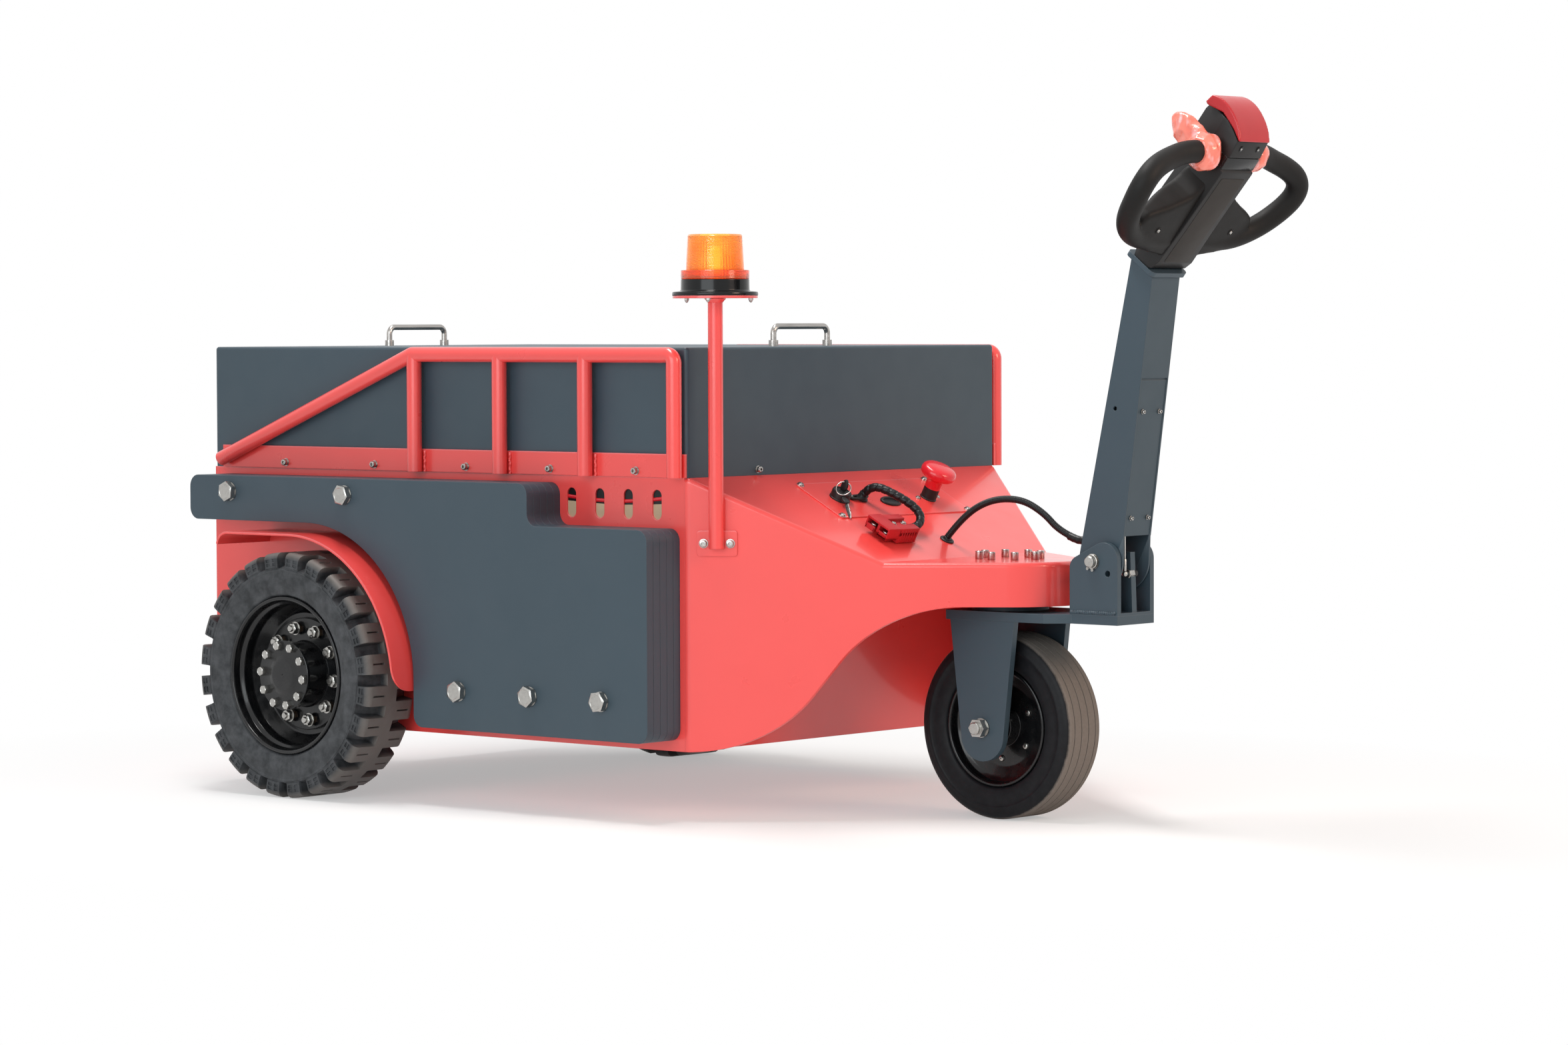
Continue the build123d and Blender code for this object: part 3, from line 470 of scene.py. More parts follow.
def arc(radius, first, last, steps, middle=(0, 0)):  # both ends included, degrees
    turns = [math.radians(first + (last - first) * k / steps) for k in range(steps + 1)]
    return [(middle[0] + radius * math.cos(turn), middle[1] + radius * math.sin(turn)) for turn in turns]


def rounded(points, radius, steps=4):  # a profile with its corners turned by small curves
    result = [points[0]]
    for before, corner, after in zip(points, points[1:], points[2:]):
        corner = Vector(corner)
        into, out = Vector(before) - corner, Vector(after) - corner
        reach = min(radius, into.length * 0.45, out.length * 0.45)  # less than half of either side
        a, b = corner + into.normalized() * reach, corner + out.normalized() * reach
        for t in (k / steps for k in range(steps + 1)):
            result.append(tuple(a * (1 - t) ** 2 + corner * 2 * t * (1 - t) + b * t ** 2))
    return result + [points[-1]]


def ringLoops(rings, closed=False):  # equal rings joined in turn, ends capped, or the last joined to the first
    count = len(rings[0])
    verts = [point for ring in rings for point in ring]
    faces = []
    for row in range(len(rings) - (0 if closed else 1)):
        start, after = row * count, (row + 1) % len(rings) * count
        for k in range(count):
            step = (k + 1) % count
            faces.append((start + k, start + step, after + step, after + k))
    if not closed:
        faces += [tuple(range(count))[::-1], tuple(range(len(verts) - count, len(verts)))]
    return verts, faces


def pipeRings(line, radius, sides, across):  # rings round the points of a line, all mm
    rings = []
    for k, place in enumerate(line):
        along = (line[min(k + 1, len(line) - 1)] - line[max(k - 1, 0)]).normalized()
        across = (across - along * across.dot(along)).normalized()
        other = along.cross(across)
        rings.append([place + (across * c + other * s) * radius for c, s in circle(sides)])
    return rings


leastRadius = 0.02  # of a turned piece where its profile meets the axis, mm


def spun(name, profile, origin, axis, finish, body, segments=128, smooth=35, closed=False):
    # a turned piece: profile is (radius, distance along the axis), mm, from one end to the other
    axis = Vector(axis).normalized()
    side = axis.orthogonal().normalized()
    other = axis.cross(side)
    rings = []
    for radius, along in profile:
        middle, radius = origin + axis * along, max(radius, leastRadius)
        rings.append([middle + (side * c + other * s) * radius for c, s in circle(segments)])
    return makeMesh(name, ringLoops(rings, closed), finish, body, smooth)


def slab(name, outline, place, a, b, thick, finish, body="chassis", soft=0.18):
    # a flat piece with rounded rims: outline in mm along a and b, thick across them
    a, b = a.normalized(), b.normalized()
    c = a.cross(b)
    middle = Vector((sum(u for u, v in outline), sum(v for u, v in outline))) / len(outline)
    rings = []
    for height, shrink in ((-0.5, soft), (-0.4, soft / 4), (-0.25, 0), (0.25, 0), (0.4, soft / 4), (0.5, soft)):
        points = [middle + (Vector(point) - middle) * (1 - shrink) for point in outline]
        rings.append([place + a * point.x + b * point.y + c * height * thick for point in points])
    return makeMesh(name, ringLoops(rings), finish, body, 45)


def oval(half, tall, count=28, pinch=0.0):
    return [(half * c * (1 - pinch * s), tall * s) for c, s in circle(count)]


def rectangle(long, wide, corner, steps=5):  # with round corners
    points = []
    for u, v, start in ((1, 1, 0), (-1, 1, 90), (-1, -1, 180), (1, -1, 270)):
        points += arc(corner, start, start + 90, steps, (u * (long / 2 - corner), v * (wide / 2 - corner)))
    return points


# ---------- Geometry Nodes for what repeats

class Tree:  # one tree being made, with its named inputs
    def __init__(self, name, **inputs):
        self.tree = bpy.data.node_groups.new(name, "GeometryNodeTree")
        sockets = self.tree.interface
        sockets.new_socket(name="Geometry", in_out="INPUT", socket_type="NodeSocketGeometry")
        self.ids = {}
        for key, kind in {**inputs, "finish": "Material"}.items():
            made = sockets.new_socket(name=key, in_out="INPUT", socket_type="NodeSocket" + kind)
            self.ids[key] = made.identifier
        sockets.new_socket(name="Geometry", in_out="OUTPUT", socket_type="NodeSocketGeometry")
        start = addNode(self.tree, "NodeGroupInput").outputs
        self.given = {key: Wire(self.tree, start[key]) for key in ("Geometry", *self.ids)}

    def node(self, kind, sockets=None, settings=None, out=0):
        return Wire(self.tree, addNode(self.tree, kind, settings, sockets).outputs[out])

    def finish(self, shape, join=None):  # made real, merged within join metres, in its material
        real = self.node("GeometryNodeRealizeInstances", {0: shape})
        if join:
            real = self.node("GeometryNodeMergeByDistance", {"Geometry": real, "Distance": join})
        coat = self.node("GeometryNodeSetMaterial", {"Geometry": real, "Material": self.given["finish"]})
        addNode(self.tree, "NodeGroupOutput", None, {0: coat})
        return self


def fastenerTree():  # a head on every point, facing the way that the point says
    tree = Tree("fastenerRow", head="Object", size="Float", turnSeed="Int")
    given = tree.given
    source = tree.node("GeometryNodeObjectInfo", {"Object": given["head"]}, out="Geometry")
    facing = tree.node("GeometryNodeInputNamedAttribute", {"Name": "facing"}, {"data_type": "FLOAT_VECTOR"})
    align = tree.node("FunctionNodeAlignRotationToVector", {"Vector": facing}, {"axis": "Z"})
    turn = tree.node("FunctionNodeRandomValue", {2: 0.0, 3: 2 * math.pi, "Seed": given["turnSeed"]},
                     {"data_type": "FLOAT"}, 1)
    about = tree.node("FunctionNodeAxisAngleToRotation", {"Axis": (0, 0, 1), "Angle": turn})
    rotate = tree.node("FunctionNodeRotateRotation", {0: align, 1: about}, {"rotation_space": "LOCAL"})
    return tree.finish(tree.node("GeometryNodeInstanceOnPoints", {
        "Points": given["Geometry"], "Instance": source, "Rotation": rotate, "Scale": given["size"]}))


def ribbedTree():  # a tube along a line, its radius rising and falling along its length
    tree = Tree("ribbedTube", radius="Float", ripple="Float", pitch="Float", step="Float", sides="Int")
    given = tree.given
    line = tree.node("GeometryNodeMeshToCurve", {"Mesh": given["Geometry"]})
    line = tree.node("GeometryNodeResampleCurve", {"Curve": line, "Length": given["step"]}, {"mode": "LENGTH"})
    wave = tree.node("GeometryNodeSplineParameter", out="Length") / given["pitch"] * (2 * math.pi)
    wave = tree.node("ShaderNodeMath", {0: wave}, {"operation": "SINE"})
    profile = tree.node("GeometryNodeCurvePrimitiveCircle", {"Radius": 1.0, "Resolution": given["sides"]})
    radius = given["radius"] + wave * given["ripple"]
    return tree.finish(tree.node("GeometryNodeCurveToMesh", {
        "Curve": line, "Profile Curve": profile, "Scale": radius, "Fill Caps": True}))


def sectorTree():  # one sector of a wheel, repeated about its axle
    tree = Tree("wheelSectors", count="Int", axle="Vector")
    given = tree.given
    single = tree.node("GeometryNodeGeometryToInstance", {0: given["Geometry"]})
    many = addNode(tree.tree, "GeometryNodeDuplicateElements", {"domain": "INSTANCE"},
                   {"Geometry": single, "Amount": given["count"]}).outputs
    angle = Wire(tree.tree, many["Duplicate Index"]) / given["count"] * (2 * math.pi)
    return tree.finish(tree.node("GeometryNodeRotateInstances", {
        "Instances": many["Geometry"], "Rotation": tree.node("ShaderNodeCombineXYZ", {1: angle}),
        "Pivot Point": given["axle"], "Local Space": False}), 0.00002)


fastenerNodes, ribbedNodes, sectorNodes = fastenerTree(), ribbedTree(), sectorTree()


def grown(name, base, nodes, inputs, body, finish, smooth=40):  # runs a tree and keeps its plain mesh
    source = placed(name + "Base", base)
    modifier = source.modifiers.new("grow", "NODES")
    modifier.node_group = nodes.tree
    for key, value in {**inputs, "finish": finishes[finish]}.items():
        modifier[nodes.ids[key]] = value
    base.update()
    mesh = grownMesh(source)
    mesh.name = name
    source.modifiers.remove(modifier)
    bpy.data.objects.remove(source)
    return settle(placed(name, mesh), finish, body, smooth)


def tube(name, points, radius, body, finish, ripple=0.0, pitch=3.0, step=1.0, sides=16, smooth=50):
    base = plainMesh(name + "Line", points, [(k, k + 1) for k in range(len(points) - 1)])
    inputs = {"radius": radius * mm, "ripple": ripple * mm, "pitch": pitch * mm, "step": step * mm, "sides": sides}
    return grown(name, base, ribbedNodes, inputs, body, finish, smooth)


def flats(half, *heights):  # rows of a hexagon, half its width across flats
    return [(half, height, True) for height in heights]


headRows = {  # radius and height from the face that it sits on, mm
    "button": [(6.5, 0), (6.4, 1.0), (5.1, 1.1), (5.2, 1.6), (5.2, 6.8), (4.7, 7.6), (3.6, 7.9),
               *flats(2.3, 7.9), *flats(2.2, 4.5)],  # washer, cap head, hexagon socket
    "hexBolt": [(16.6, 0), (16.6, 1.8), (15.6, 2.0), *flats(15.4, 2.0, 12.2), (14.6, 13.4), (12.6, 13.9),
                (11.8, 13.2)],
    "pan": [(6.2, 0), (6.2, 0.8), (4.6, 1.2), (4.6, 2.6), (3.9, 3.6), (1.4, 4.0), *flats(1.0, 2.6)],
    "socket": [(6.0, 0), (6.4, 0.6), (6.4, 12.2), (5.7, 13.0), *flats(3.3, 13.0), *flats(3.2, 7.5)],
    "acorn": [*flats(4.0, 0, 3.4), (3.5, 4.0), (3.2, 5.6), (2.2, 7.2), (0.8, 7.9)],
    "wheelNut": [(13.2, 0), (13.2, 2.0), (10.8, 2.4), *flats(10.4, 2.4, 11.2), (9.4, 12.6), (6.4, 12.8), (6.4, 15.6),
                 (5.4, 17.0)],  # washer face, nut, end of the stud
    "hubBolt": [*flats(6.5, 0, 6.6), (6.2, 7.4), (5.0, 7.7), (4.4, 7.2)],
    "stud": [(6.2, 0), *flats(8.2, 0.2, 6), (6.2, 6.2), (6.2, 12)],
    "cross": [(4.1, 0), (4.1, 0.8), (3.4, 2.0), (2.0, 2.6), (1.0, 2.6), (0.6, 1.2)],
    "nyloc": [(14.2, -2.6), (14.2, 0), *flats(12.0, 0.1, 8.6), (11.6, 9.4), (10.9, 9.6), (10.9, 12.6), (9.6, 13.6),
              (8.6, 13.0)],
}


def headShape(name, rows, sides=24):
    rings = []
    for size, height, *hexagon in rows:
        ring = []
        for k, (c, s) in enumerate(circle(sides)):
            angle = 2 * math.pi * k / sides
            radius = size / math.cos(angle % (math.pi / 3) - math.pi / 6) if hexagon else size
            ring.append((radius * c, radius * s, height))
        rings.append(ring)
    verts, faces = ringLoops(rings)
    mesh = plainMesh(name, verts, faces=faces)
    shaded(mesh, 35)
    return bpy.data.objects.new(name, mesh)


headShapes = {kind: headShape(kind + "Head", rows) for kind, rows in headRows.items()}


def fasteners(name, kind, spots, body="chassis", finish="zinc", size=1.0, seed=1):  # spots are (place mm, facing)
    base = plainMesh(name + "Spots", [place for place, facing in spots])
    ways = base.attributes.new("facing", "FLOAT_VECTOR", "POINT")
    for way, (place, facing) in zip(ways.data, spots):
        way.vector = facing.normalized()
    inputs = {"head": headShapes[kind], "size": size, "turnSeed": seed}
    return grown(name, base, fastenerNodes, inputs, body, finish, 35)


# ---------- cords

chargeLead = {
    # down the deck, to the left, out of the deck, mm
    "route": [(94, -63, 2), (95, -63, 34), (150, -48, 40), (190, -28, 31), (209, -44, 13), (209, -75, 13)],
    "core": 5.5,  # radius under the wrap
    "wrap": 7.1,  # radius of the wrap's turns
    "turn": 11.5,  # one turn of the wrap along the lead
    "edge": 5.5,  # how steeply a turn's edge rises
    "step": 0.9,
    "sides": 20,
}
controlConduit = {
    # ahead of the rear axle, to the left, up, mm
    "route": [(999, 11, 446), (1034, 10, 483), (1092, 7, 512), (1157, 4, 515), (1205, 2, 494), (1240, 0, 464),
              (1277, 0, 452)],
    "radius": 5.2,
    "ridge": 0.55,
    "pitch": 3.1,
}


def smoothRoute(name, points):  # the points that one smooth line through the route has, mm in, metres out
    curve = bpy.data.curves.new(name, "CURVE")
    curve.dimensions = "3D"
    curve.resolution_u = 24
    spline = curve.splines.new("NURBS")
    spline.points.add(len(points) - 1)
    for control, point in zip(spline.points, points):
        control.co = (*(Vector(point) * mm), 1)
    spline.order_u = 3
    spline.use_endpoint_u = True
    holder = placed(name, curve)
    line = bpy.data.meshes.new_from_object(holder)
    path = [vertex.co.copy() for vertex in line.vertices]
    bpy.data.meshes.remove(line)
    bpy.data.objects.remove(holder)
    return path


def runLength(path):
    return sum((b - a).length for a, b in zip(path, path[1:]))


def wrappedTube(name, path, spec, finish, body):  # a lead with a flat strip wound round it
    total = runLength(path)
    count = int(total / (spec["step"] * mm))
    places, walked, k = [], 0.0, 0
    for step in range(count + 1):
        target = total * step / count
        while k < len(path) - 2 and walked + (path[k + 1] - path[k]).length < target:
            walked += (path[k + 1] - path[k]).length
            k += 1
        run = path[k + 1] - path[k]
        places.append((path[k] + run * min(1.0, (target - walked) / run.length), run.normalized(), target))
    across = places[0][1].orthogonal().normalized()
    rings = []
    for place, along, walked in places:
        across = (across - along * across.dot(along)).normalized()
        other = along.cross(across)
        ring = []
        for side, (c, s) in enumerate(circle(spec["sides"])):
            phase = (walked / mm / spec["turn"] + side / spec["sides"]) % 1.0
            lift = min(1.0, spec["edge"] * min(phase, 1 - phase)) ** 0.6  # low where one turn meets the next
            radius = spec["core"] + (spec["wrap"] - spec["core"]) * lift
            ring.append(place / mm + (across * c + other * s) * radius)
        rings.append(ring)
    return makeMesh(name, ringLoops(rings), finish, body, 60)


leadPath = smoothRoute("chargeLeadLine", [deck.at(*point) for point in chargeLead["route"]])
lead = standsFor(wrappedTube("chargeLead", leadPath, chargeLead, "cord", "chassis"), "charge_lead")
conduitPath = smoothRoute("controlConduitLine", [rel(*point) for point in controlConduit["route"]])
pitch = controlConduit["pitch"]
conduit = tube("controlConduit", [point / mm for point in conduitPath], controlConduit["radius"], "chassis", "cord",
               controlConduit["ridge"], pitch, pitch / 5, 18, 70)
standsFor(conduit, "control_conduit")
print("cords made", round(runLength(leadPath), 4), round(runLength(conduitPath), 4))


# ---------- wheels

rearWheel = {
    "outer": 532.0,
    "width": 113.0,
    "lugs": 24,
    "gap": 2.6,  # half a gap between lugs, degrees
    "marks": [0.0, 0.28, 0.42, 2.6, 2.9, 3.8, 4.0, 6.5, 6.7, 7.08, 7.22, 7.5],  # where the tread may change, degrees
    "wall": (181.0, 1.5),  # radius and depth where the gaps begin
    "crown": (207.5, 11.0),  # radius and depth where the tread begins
    "floorIn": (193.5, 45.5),  # radius and depth of a gap's floor beside the middle rib
    "floorFall": 14.0 / 47.5,
    "squares": (0.9, 3.6, 1.5),  # from and to, degrees from a lug's middle, and depth
    "sipe": (0.3, 5.0),  # half width in degrees, and depth, of the short slot across each lug
    "rim": [(134, 9), (132.5, 4.6), (127.5, 4.6), (125.5, 9), (125.5, 19), (119, 25), (119, 41), (110, 52), (103, 60),
            (56.7, 60), (56.7, 68), (113, 68), (121, 80), (121, 96), (127, 104), (134, 104)],
    "hub": [(0, 2.6), (1.8, 2.4), (2.6, 1.2), (24, 0.9), (26, 1.1), (33, 3.2), (34, 3.5), (58, 3.5), (59, 4.2),
            (59, 9.4), (58.4, 10), (55.6, 10.2), (55, 12), (55, 51), (57, 54), (94, 54), (95, 54.8), (95, 59.9),
            (56.5, 59.9), (56.5, 110), (20.3, 110), (20.3, 40), (0, 40)],
    # name, head, radius of the circle, from the machine's middle, turn in degrees, finish, size, seed
    "fixings": [("wheelStuds", "stud", 78.5, 478.0, 29.9, "oiledSteel", 1.0, 1),
                ("wheelNuts", "wheelNut", 78.5, 484.2, 29.9, "zinc", 0.86, 3),
                ("hubBolts", "hubBolt", 50.8, 528.5, 30.5, "zinc", 1.04, 5)],
    "fixingCount": 10,
}

# radius, depth, and what the row takes part in: g gap between lugs, s square marks, c slot
tyreRows = [
    (134.5, 9.0, ""), (136.5, 6.2, ""), (139.0, 4.4, ""), (147.0, 3.4, ""), (150.5, 2.2, ""), (153.0, 1.2, ""),
    (164.0, 0.7, ""), (175.0, 1.2, ""), (176.2, 0.3, ""), (178.4, 0.3, ""), (179.4, 1.4, ""), (181.0, 1.5, "g"),
    (182.0, 0.0, "g"), (185.3, 0.0, "g"), (185.7, 0.0, "gs"), (189.8, 0.0, "gs"), (190.2, 0.0, "g"),
    (191.8, 0.0, "g"), (192.2, 0.0, "gs"), (196.8, 0.1, "gs"), (197.2, 0.2, "g"), (200.5, 0.9, "g"),
    (204.0, 3.2, "g"), (206.3, 7.0, "g"), (207.5, 11.0, "g"), (207.5, 13.6, "g"), (207.5, 14.0, "gc"),
    (207.5, 39.6, "gc"), (207.5, 40.0, "g"), (207.5, 43.6, "g"), (207.5, 45.6, ""), (207.5, 53.5, ""),
]
sector = 360 / rearWheel["lugs"]


def tyreColumns():  # both sides' marks, since the far side's gaps lie half a sector on
    angles = {round(turn % sector, 3) for mark in rearWheel["marks"]
              for turn in (mark, -mark, sector / 2 + mark, sector / 2 - mark)}
    return sorted(angles) + [sector]


def tyrePoint(row, turn):  # turn is the angle from the middle of this side's gap
    radius, depth, kind = row
    fromLug = abs(turn % sector - sector / 2)
    first, last, ladder = rearWheel["squares"]
    slot, sipe = rearWheel["sipe"]
    if "g" in kind and sector / 2 - fromLug <= rearWheel["gap"] + 0.01:
        (wallRadius, wallDepth), (crownRadius, crownDepth) = rearWheel["wall"], rearWheel["crown"]
        floorRadius, floorDepth = rearWheel["floorIn"]
        if depth < crownDepth or radius < crownRadius - 0.1:
            depth = wallDepth + (crownDepth - wallDepth) * (radius - wallRadius) / (crownRadius - wallRadius)
        radius = min(radius, floorRadius - rearWheel["floorFall"] * (floorDepth - depth))
    elif "s" in kind and first < fromLug < last:
        depth += ladder
    elif "c" in kind and fromLug < slot:
        radius -= sipe
    return radius, depth


def makeRearTyre(name, side, body):
    columns = tyreColumns()
    rows = [(row, 0.0, False) for row in tyreRows] + [(row, sector / 2, True) for row in reversed(tyreRows)]
    centre = rel(0, side * rearWheel["outer"], machine["rearZ"])
    verts = []
    for row, shift, far in rows:
        for angle in columns:
            radius, depth = tyrePoint(row, angle - shift)
            depth = rearWheel["width"] - depth if far else depth
            turn = math.radians(angle)
            verts.append(centre + Vector((radius * math.cos(turn), -side * depth, radius * math.sin(turn))))
    faces = []
    for i in range(len(rows)):
        start, after = i * len(columns), (i + 1) % len(rows) * len(columns)
        for k in range(len(columns) - 1):
            faces.append((start + k, start + k + 1, after + k + 1, after + k))
    inputs = {"count": rearWheel["lugs"], "axle": tuple(rel(0, 0, machine["rearZ"]) * mm)}
    base = plainMesh(name + "Sector", verts, faces=faces)
    obj = grown(name, base, sectorNodes, inputs, body, "tyre", 30)
    faceOutward(obj)
    return obj


def wheelPart(name, profile, middle, side, finish, body, closed=False, segments=144, smooth=32):
    # profile is (radius, depth behind the outer face), mm
    profile = [(radius, -depth) for radius, depth in profile]
    return spun(name, profile, middle, left * side, finish, body, segments, smooth, closed)


def circleSpots(middle, radius, side, count, phase):  # on a circle about an axle
    spots = []
    for k in range(count):
        angle = math.radians(phase + 360 * k / count)
        spots.append((middle + (ahead * math.cos(angle) + up * math.sin(angle)) * radius, left * side))
    return spots


for side, hand in hands:
    own = "_" + hand.lower()
    body = "rear_wheel" + own
    middle = rel(0, side * rearWheel["outer"], machine["rearZ"])
    standsFor(makeRearTyre("rearTyre" + hand, side, body), "rear_tyre" + own)
    rim = wheelPart("rearRim" + hand, rounded(rearWheel["rim"], 2.2), middle, side, "blackGloss", body, True)
    standsFor(rim, "rear_rim" + own)
    standsFor(wheelPart("rearHub" + hand, rearWheel["hub"], middle, side, "blackGloss", body), "rear_hub" + own)
    for name, kind, radius, y, phase, finish, size, seed in rearWheel["fixings"]:
        spots = circleSpots(rel(0, side * y, machine["rearZ"]), radius, side, rearWheel["fixingCount"], phase)
        fasteners(name + hand, kind, spots, body, finish, size, seed)

frontWheel = {
    "half": 46.0,
    "shoulder": [(98.5, 8), (100.5, 4.6), (103, 3.2), (112, 1.6), (120, 1.3), (128, 1.3), (129.4, 0.5), (130.4, 0),
                 (133, 0), (134.4, 0.7), (140, 1.8), (144.5, 3.4), (147.6, 5.8), (149.3, 8.6), (150, 11.4)],
    "grooves": (-27.0, -9.0, 9.0, 27.0),
    "groove": [(150, -1.1), (149.6, -0.85), (145.5, -0.5), (145.5, 0.5), (149.6, 0.85), (150, 1.1)],
    "rim": [(98, 9), (96.8, 4.6), (92.6, 4.6), (90.6, 9), (90.6, 20), (84, 24), (66, 29), (32, 29), (31, 6), (24, 4),
            (10.3, 4), (10.3, 88), (24, 88), (31, 86), (32, 63), (66, 63), (84, 68), (90.6, 72), (90.6, 83),
            (92.6, 87.4), (96.8, 87.4), (98, 83)],
    "hubRing": [(25.5, 0), (25.5, -1.6), (22.5, -1.6), (22.5, 0)],
}


def frontSpot(y):
    return rel(machine["steerX"], y, machine["frontZ"])


half = frontWheel["half"]
treadProfile = list(frontWheel["shoulder"])
for y in frontWheel["grooves"]:
    treadProfile += [(radius, half + y + across) for radius, across in frontWheel["groove"]]
treadProfile += [(radius, 2 * half - depth) for radius, depth in reversed(frontWheel["shoulder"])]
frontTyre = wheelPart("frontTyre", treadProfile, frontSpot(-half), -1, "wornTyre", "front_wheel", True, 176, 45)
standsFor(frontTyre, "front_tyre")
frontRim = wheelPart("frontRim", rounded(frontWheel["rim"], 1.8), frontSpot(-half), -1, "blackGloss", "front_wheel",
                     True, 128)
standsFor(frontRim, "front_rim")
for side, hand in hands:
    spots = circleSpots(frontSpot(side * 17), 53.7, side, 6, 24.8)
    fasteners("frontRimScrews" + hand, "cross", spots, "front_wheel", "zinc", 1.3, 2)
    wheelPart("frontHubRing" + hand, rounded(frontWheel["hubRing"], 0.5), frontSpot(side * 42.4), side, "zinc",
              "front_wheel", True, 72)
    fasteners("axleNut" + hand, "nyloc", [(frontSpot(side * 78), left * side)], "steering", "zinc", 1.0, 4)
print("wheels made")


# ---------- fasteners on the body

sideFixings = {  # head, from the middle, (ahead of the rear axle, up), finish, size, seed
    "coverScrews": ("button", 401, [(-124.4, 562), (92.7, 562), (309.3, 562), (501.4, 562), (691.1, 562)],
                    "stainless", 1.05, 1),
    "ballastBolts": ("hexBolt", 474.9, [(-187.4, 513.0), (95.5, 512.5), (360.9, 194.8), (522.4, 194.6),
                                        (680.1, 194.2)], "zinc", 0.98, 2),
}
for side, hand in hands:
    for name, (kind, y, spots, finish, size, seed) in sideFixings.items():
        spots = [(rel(x, side * y, z), left * side) for x, z in spots]
        fasteners(name + hand, kind, spots, "chassis", finish, size, seed)

post = {"x": 844.3, "y": -380.8, "footZ": 448, "half": 11.5, "screws": 21.5, "plateZ": 838, "nutCircle": 60}
taper = math.atan2(396 - 217.4, 1048 - 796)  # of the nose's side wall
wallAlong, wallOut = Vector((math.cos(taper), math.sin(taper), 0)), Vector((math.sin(taper), -math.cos(taper), 0))
postFoot = rel(post["x"], post["y"], post["footZ"]) - wallOut * post["half"]
plateMiddle = rel(post["x"], post["y"], post["plateZ"])
platformCircle = rel(1137, 2, 417.7)
armLow, armHigh = rel(1395.9, 0, 490.3), rel(1418.9, 0, 657.6)
armUp = (armHigh - armLow).normalized()
armOut = Vector((armUp.z, 0, -armUp.x))


def flatCircle(middle, radius, count, phase):  # on a circle that lies level
    return [middle + Vector((x, y, 0)) for x, y in arc(radius, phase, phase + 360, count)[:-1]]


fixings = [  # name, head, places, facing, body, finish, size, seed
    ("coverFrontScrews", "button", [rel(796, -223.8, 561.6), rel(796, 223.8, 557.4)], ahead, "chassis", "stainless",
     0.95, 3),
    ("panelScrews", "pan", [deck.at(s, y, 2) for s, y in ((40, -160), (141.4, -161), (142.4, 163), (40, 160))],
     deckOut, "chassis", "stainless", 1.05, 4),
    ("platformScrews", "socket", flatCircle(platformCircle, 50, 8, 1.5), up, "chassis", "stainless", 1.0, 5),
    ("postFootScrews", "button", [postFoot - wallAlong * post["screws"], postFoot + wallAlong * post["screws"]],
     wallOut, "chassis", "stainless", 1.15, 6),
    ("beaconNuts", "acorn", flatCircle(plateMiddle, post["nutCircle"], 3, 60.7), -up, "chassis", "zinc", 0.86, 7),
    ("armCoverScrews", "button", [place + left * y - armOut * 0.4 for place in (armHigh, armLow) for y in (-22, 22)],
     armOut, "tiller", "stainless", 0.6, 8),
]
for name, kind, places, facing, body, finish, size, seed in fixings:
    fasteners(name, kind, [(place, facing) for place in places], body, finish, size, seed)
print("fasteners made")


# ---------- deck fittings

def onDeck(name, profile, place, finish, smooth=35):  # turned about the deck's own normal
    return spun(name, profile, place, deckOut, finish, "chassis", 64, smooth)


stopButton = {
    # down the deck and left, then (radius, out of the deck), mm
    "at": (99.5, 105, 2),
    "collar": [(0, 0), (14.2, 0), (14.2, 1.5), (13.4, 2.2), (13.4, 20), (12, 21), (0, 21)],
    "dome": [(0, 20), (13.4, 20), (14.2, 34), (16.5, 36.4), (22, 38.4), (27, 40.8), (29.6, 44.0), (30.4, 48.0),
             (30.0, 51.8), (28.4, 55.2), (25.4, 57.8), (20.5, 59.6), (13, 60.9), (0, 61.5)],
    "screws": [(98, 80.5, 2), (98, 131, 2)],
}
stopBase = deck.at(*stopButton["at"])
onDeck("stopCollar", stopButton["collar"], stopBase, "plastic")
standsFor(onDeck("stopMushroom", stopButton["dome"], stopBase, "red", 60), "stop_button")
fasteners("stopFlangeScrews", "pan", [(deck.at(*at), deckOut) for at in stopButton["screws"]], size=0.8, seed=9)

keySwitch = {
    "at": (88, -112, 2),
    "body": [(0, 0), (17.5, 0), (17.5, 2), (16.6, 2.6), (16.6, 12), (15.6, 14.6), (13.4, 15.6), (12.6, 15.4),
             (12.2, 13.4), (5, 13.4), (4.8, 15), (0, 15)],
}
keyBase = deck.at(*keySwitch["at"])
standsFor(onDeck("keySwitch", keySwitch["body"], keyBase, "plastic"), "key_switch")

keys = {
    "bow": 24,  # out of the switch's foot
    "shank": [(-3, -12), (3, -12), (3, -2), (-3, -2)],
    "ring": ((92.75, -118.75, 23.75), (0.7585, 0.6516, 0), (-0.649, 0.397, 0.649)),  # place and its two directions
    "ringRadius": 12,
    "spare": (112, -128, 12.5),
    "blade": [(-3.1, 9), (3.1, 9), (3.4, 14), (2.7, 22), (3.3, 25), (2.5, 30), (3.1, 34), (2.3, 39), (1.2, 46.5),
              (-1.2, 46.5), (-2.6, 43), (-3.1, 28)],
}


def loop(centre, a, b, radius, other=None, count=48):  # a closed line
    return [centre + a * radius * c + b * (other or radius) * s for c, s in (*circle(count), (1, 0))]


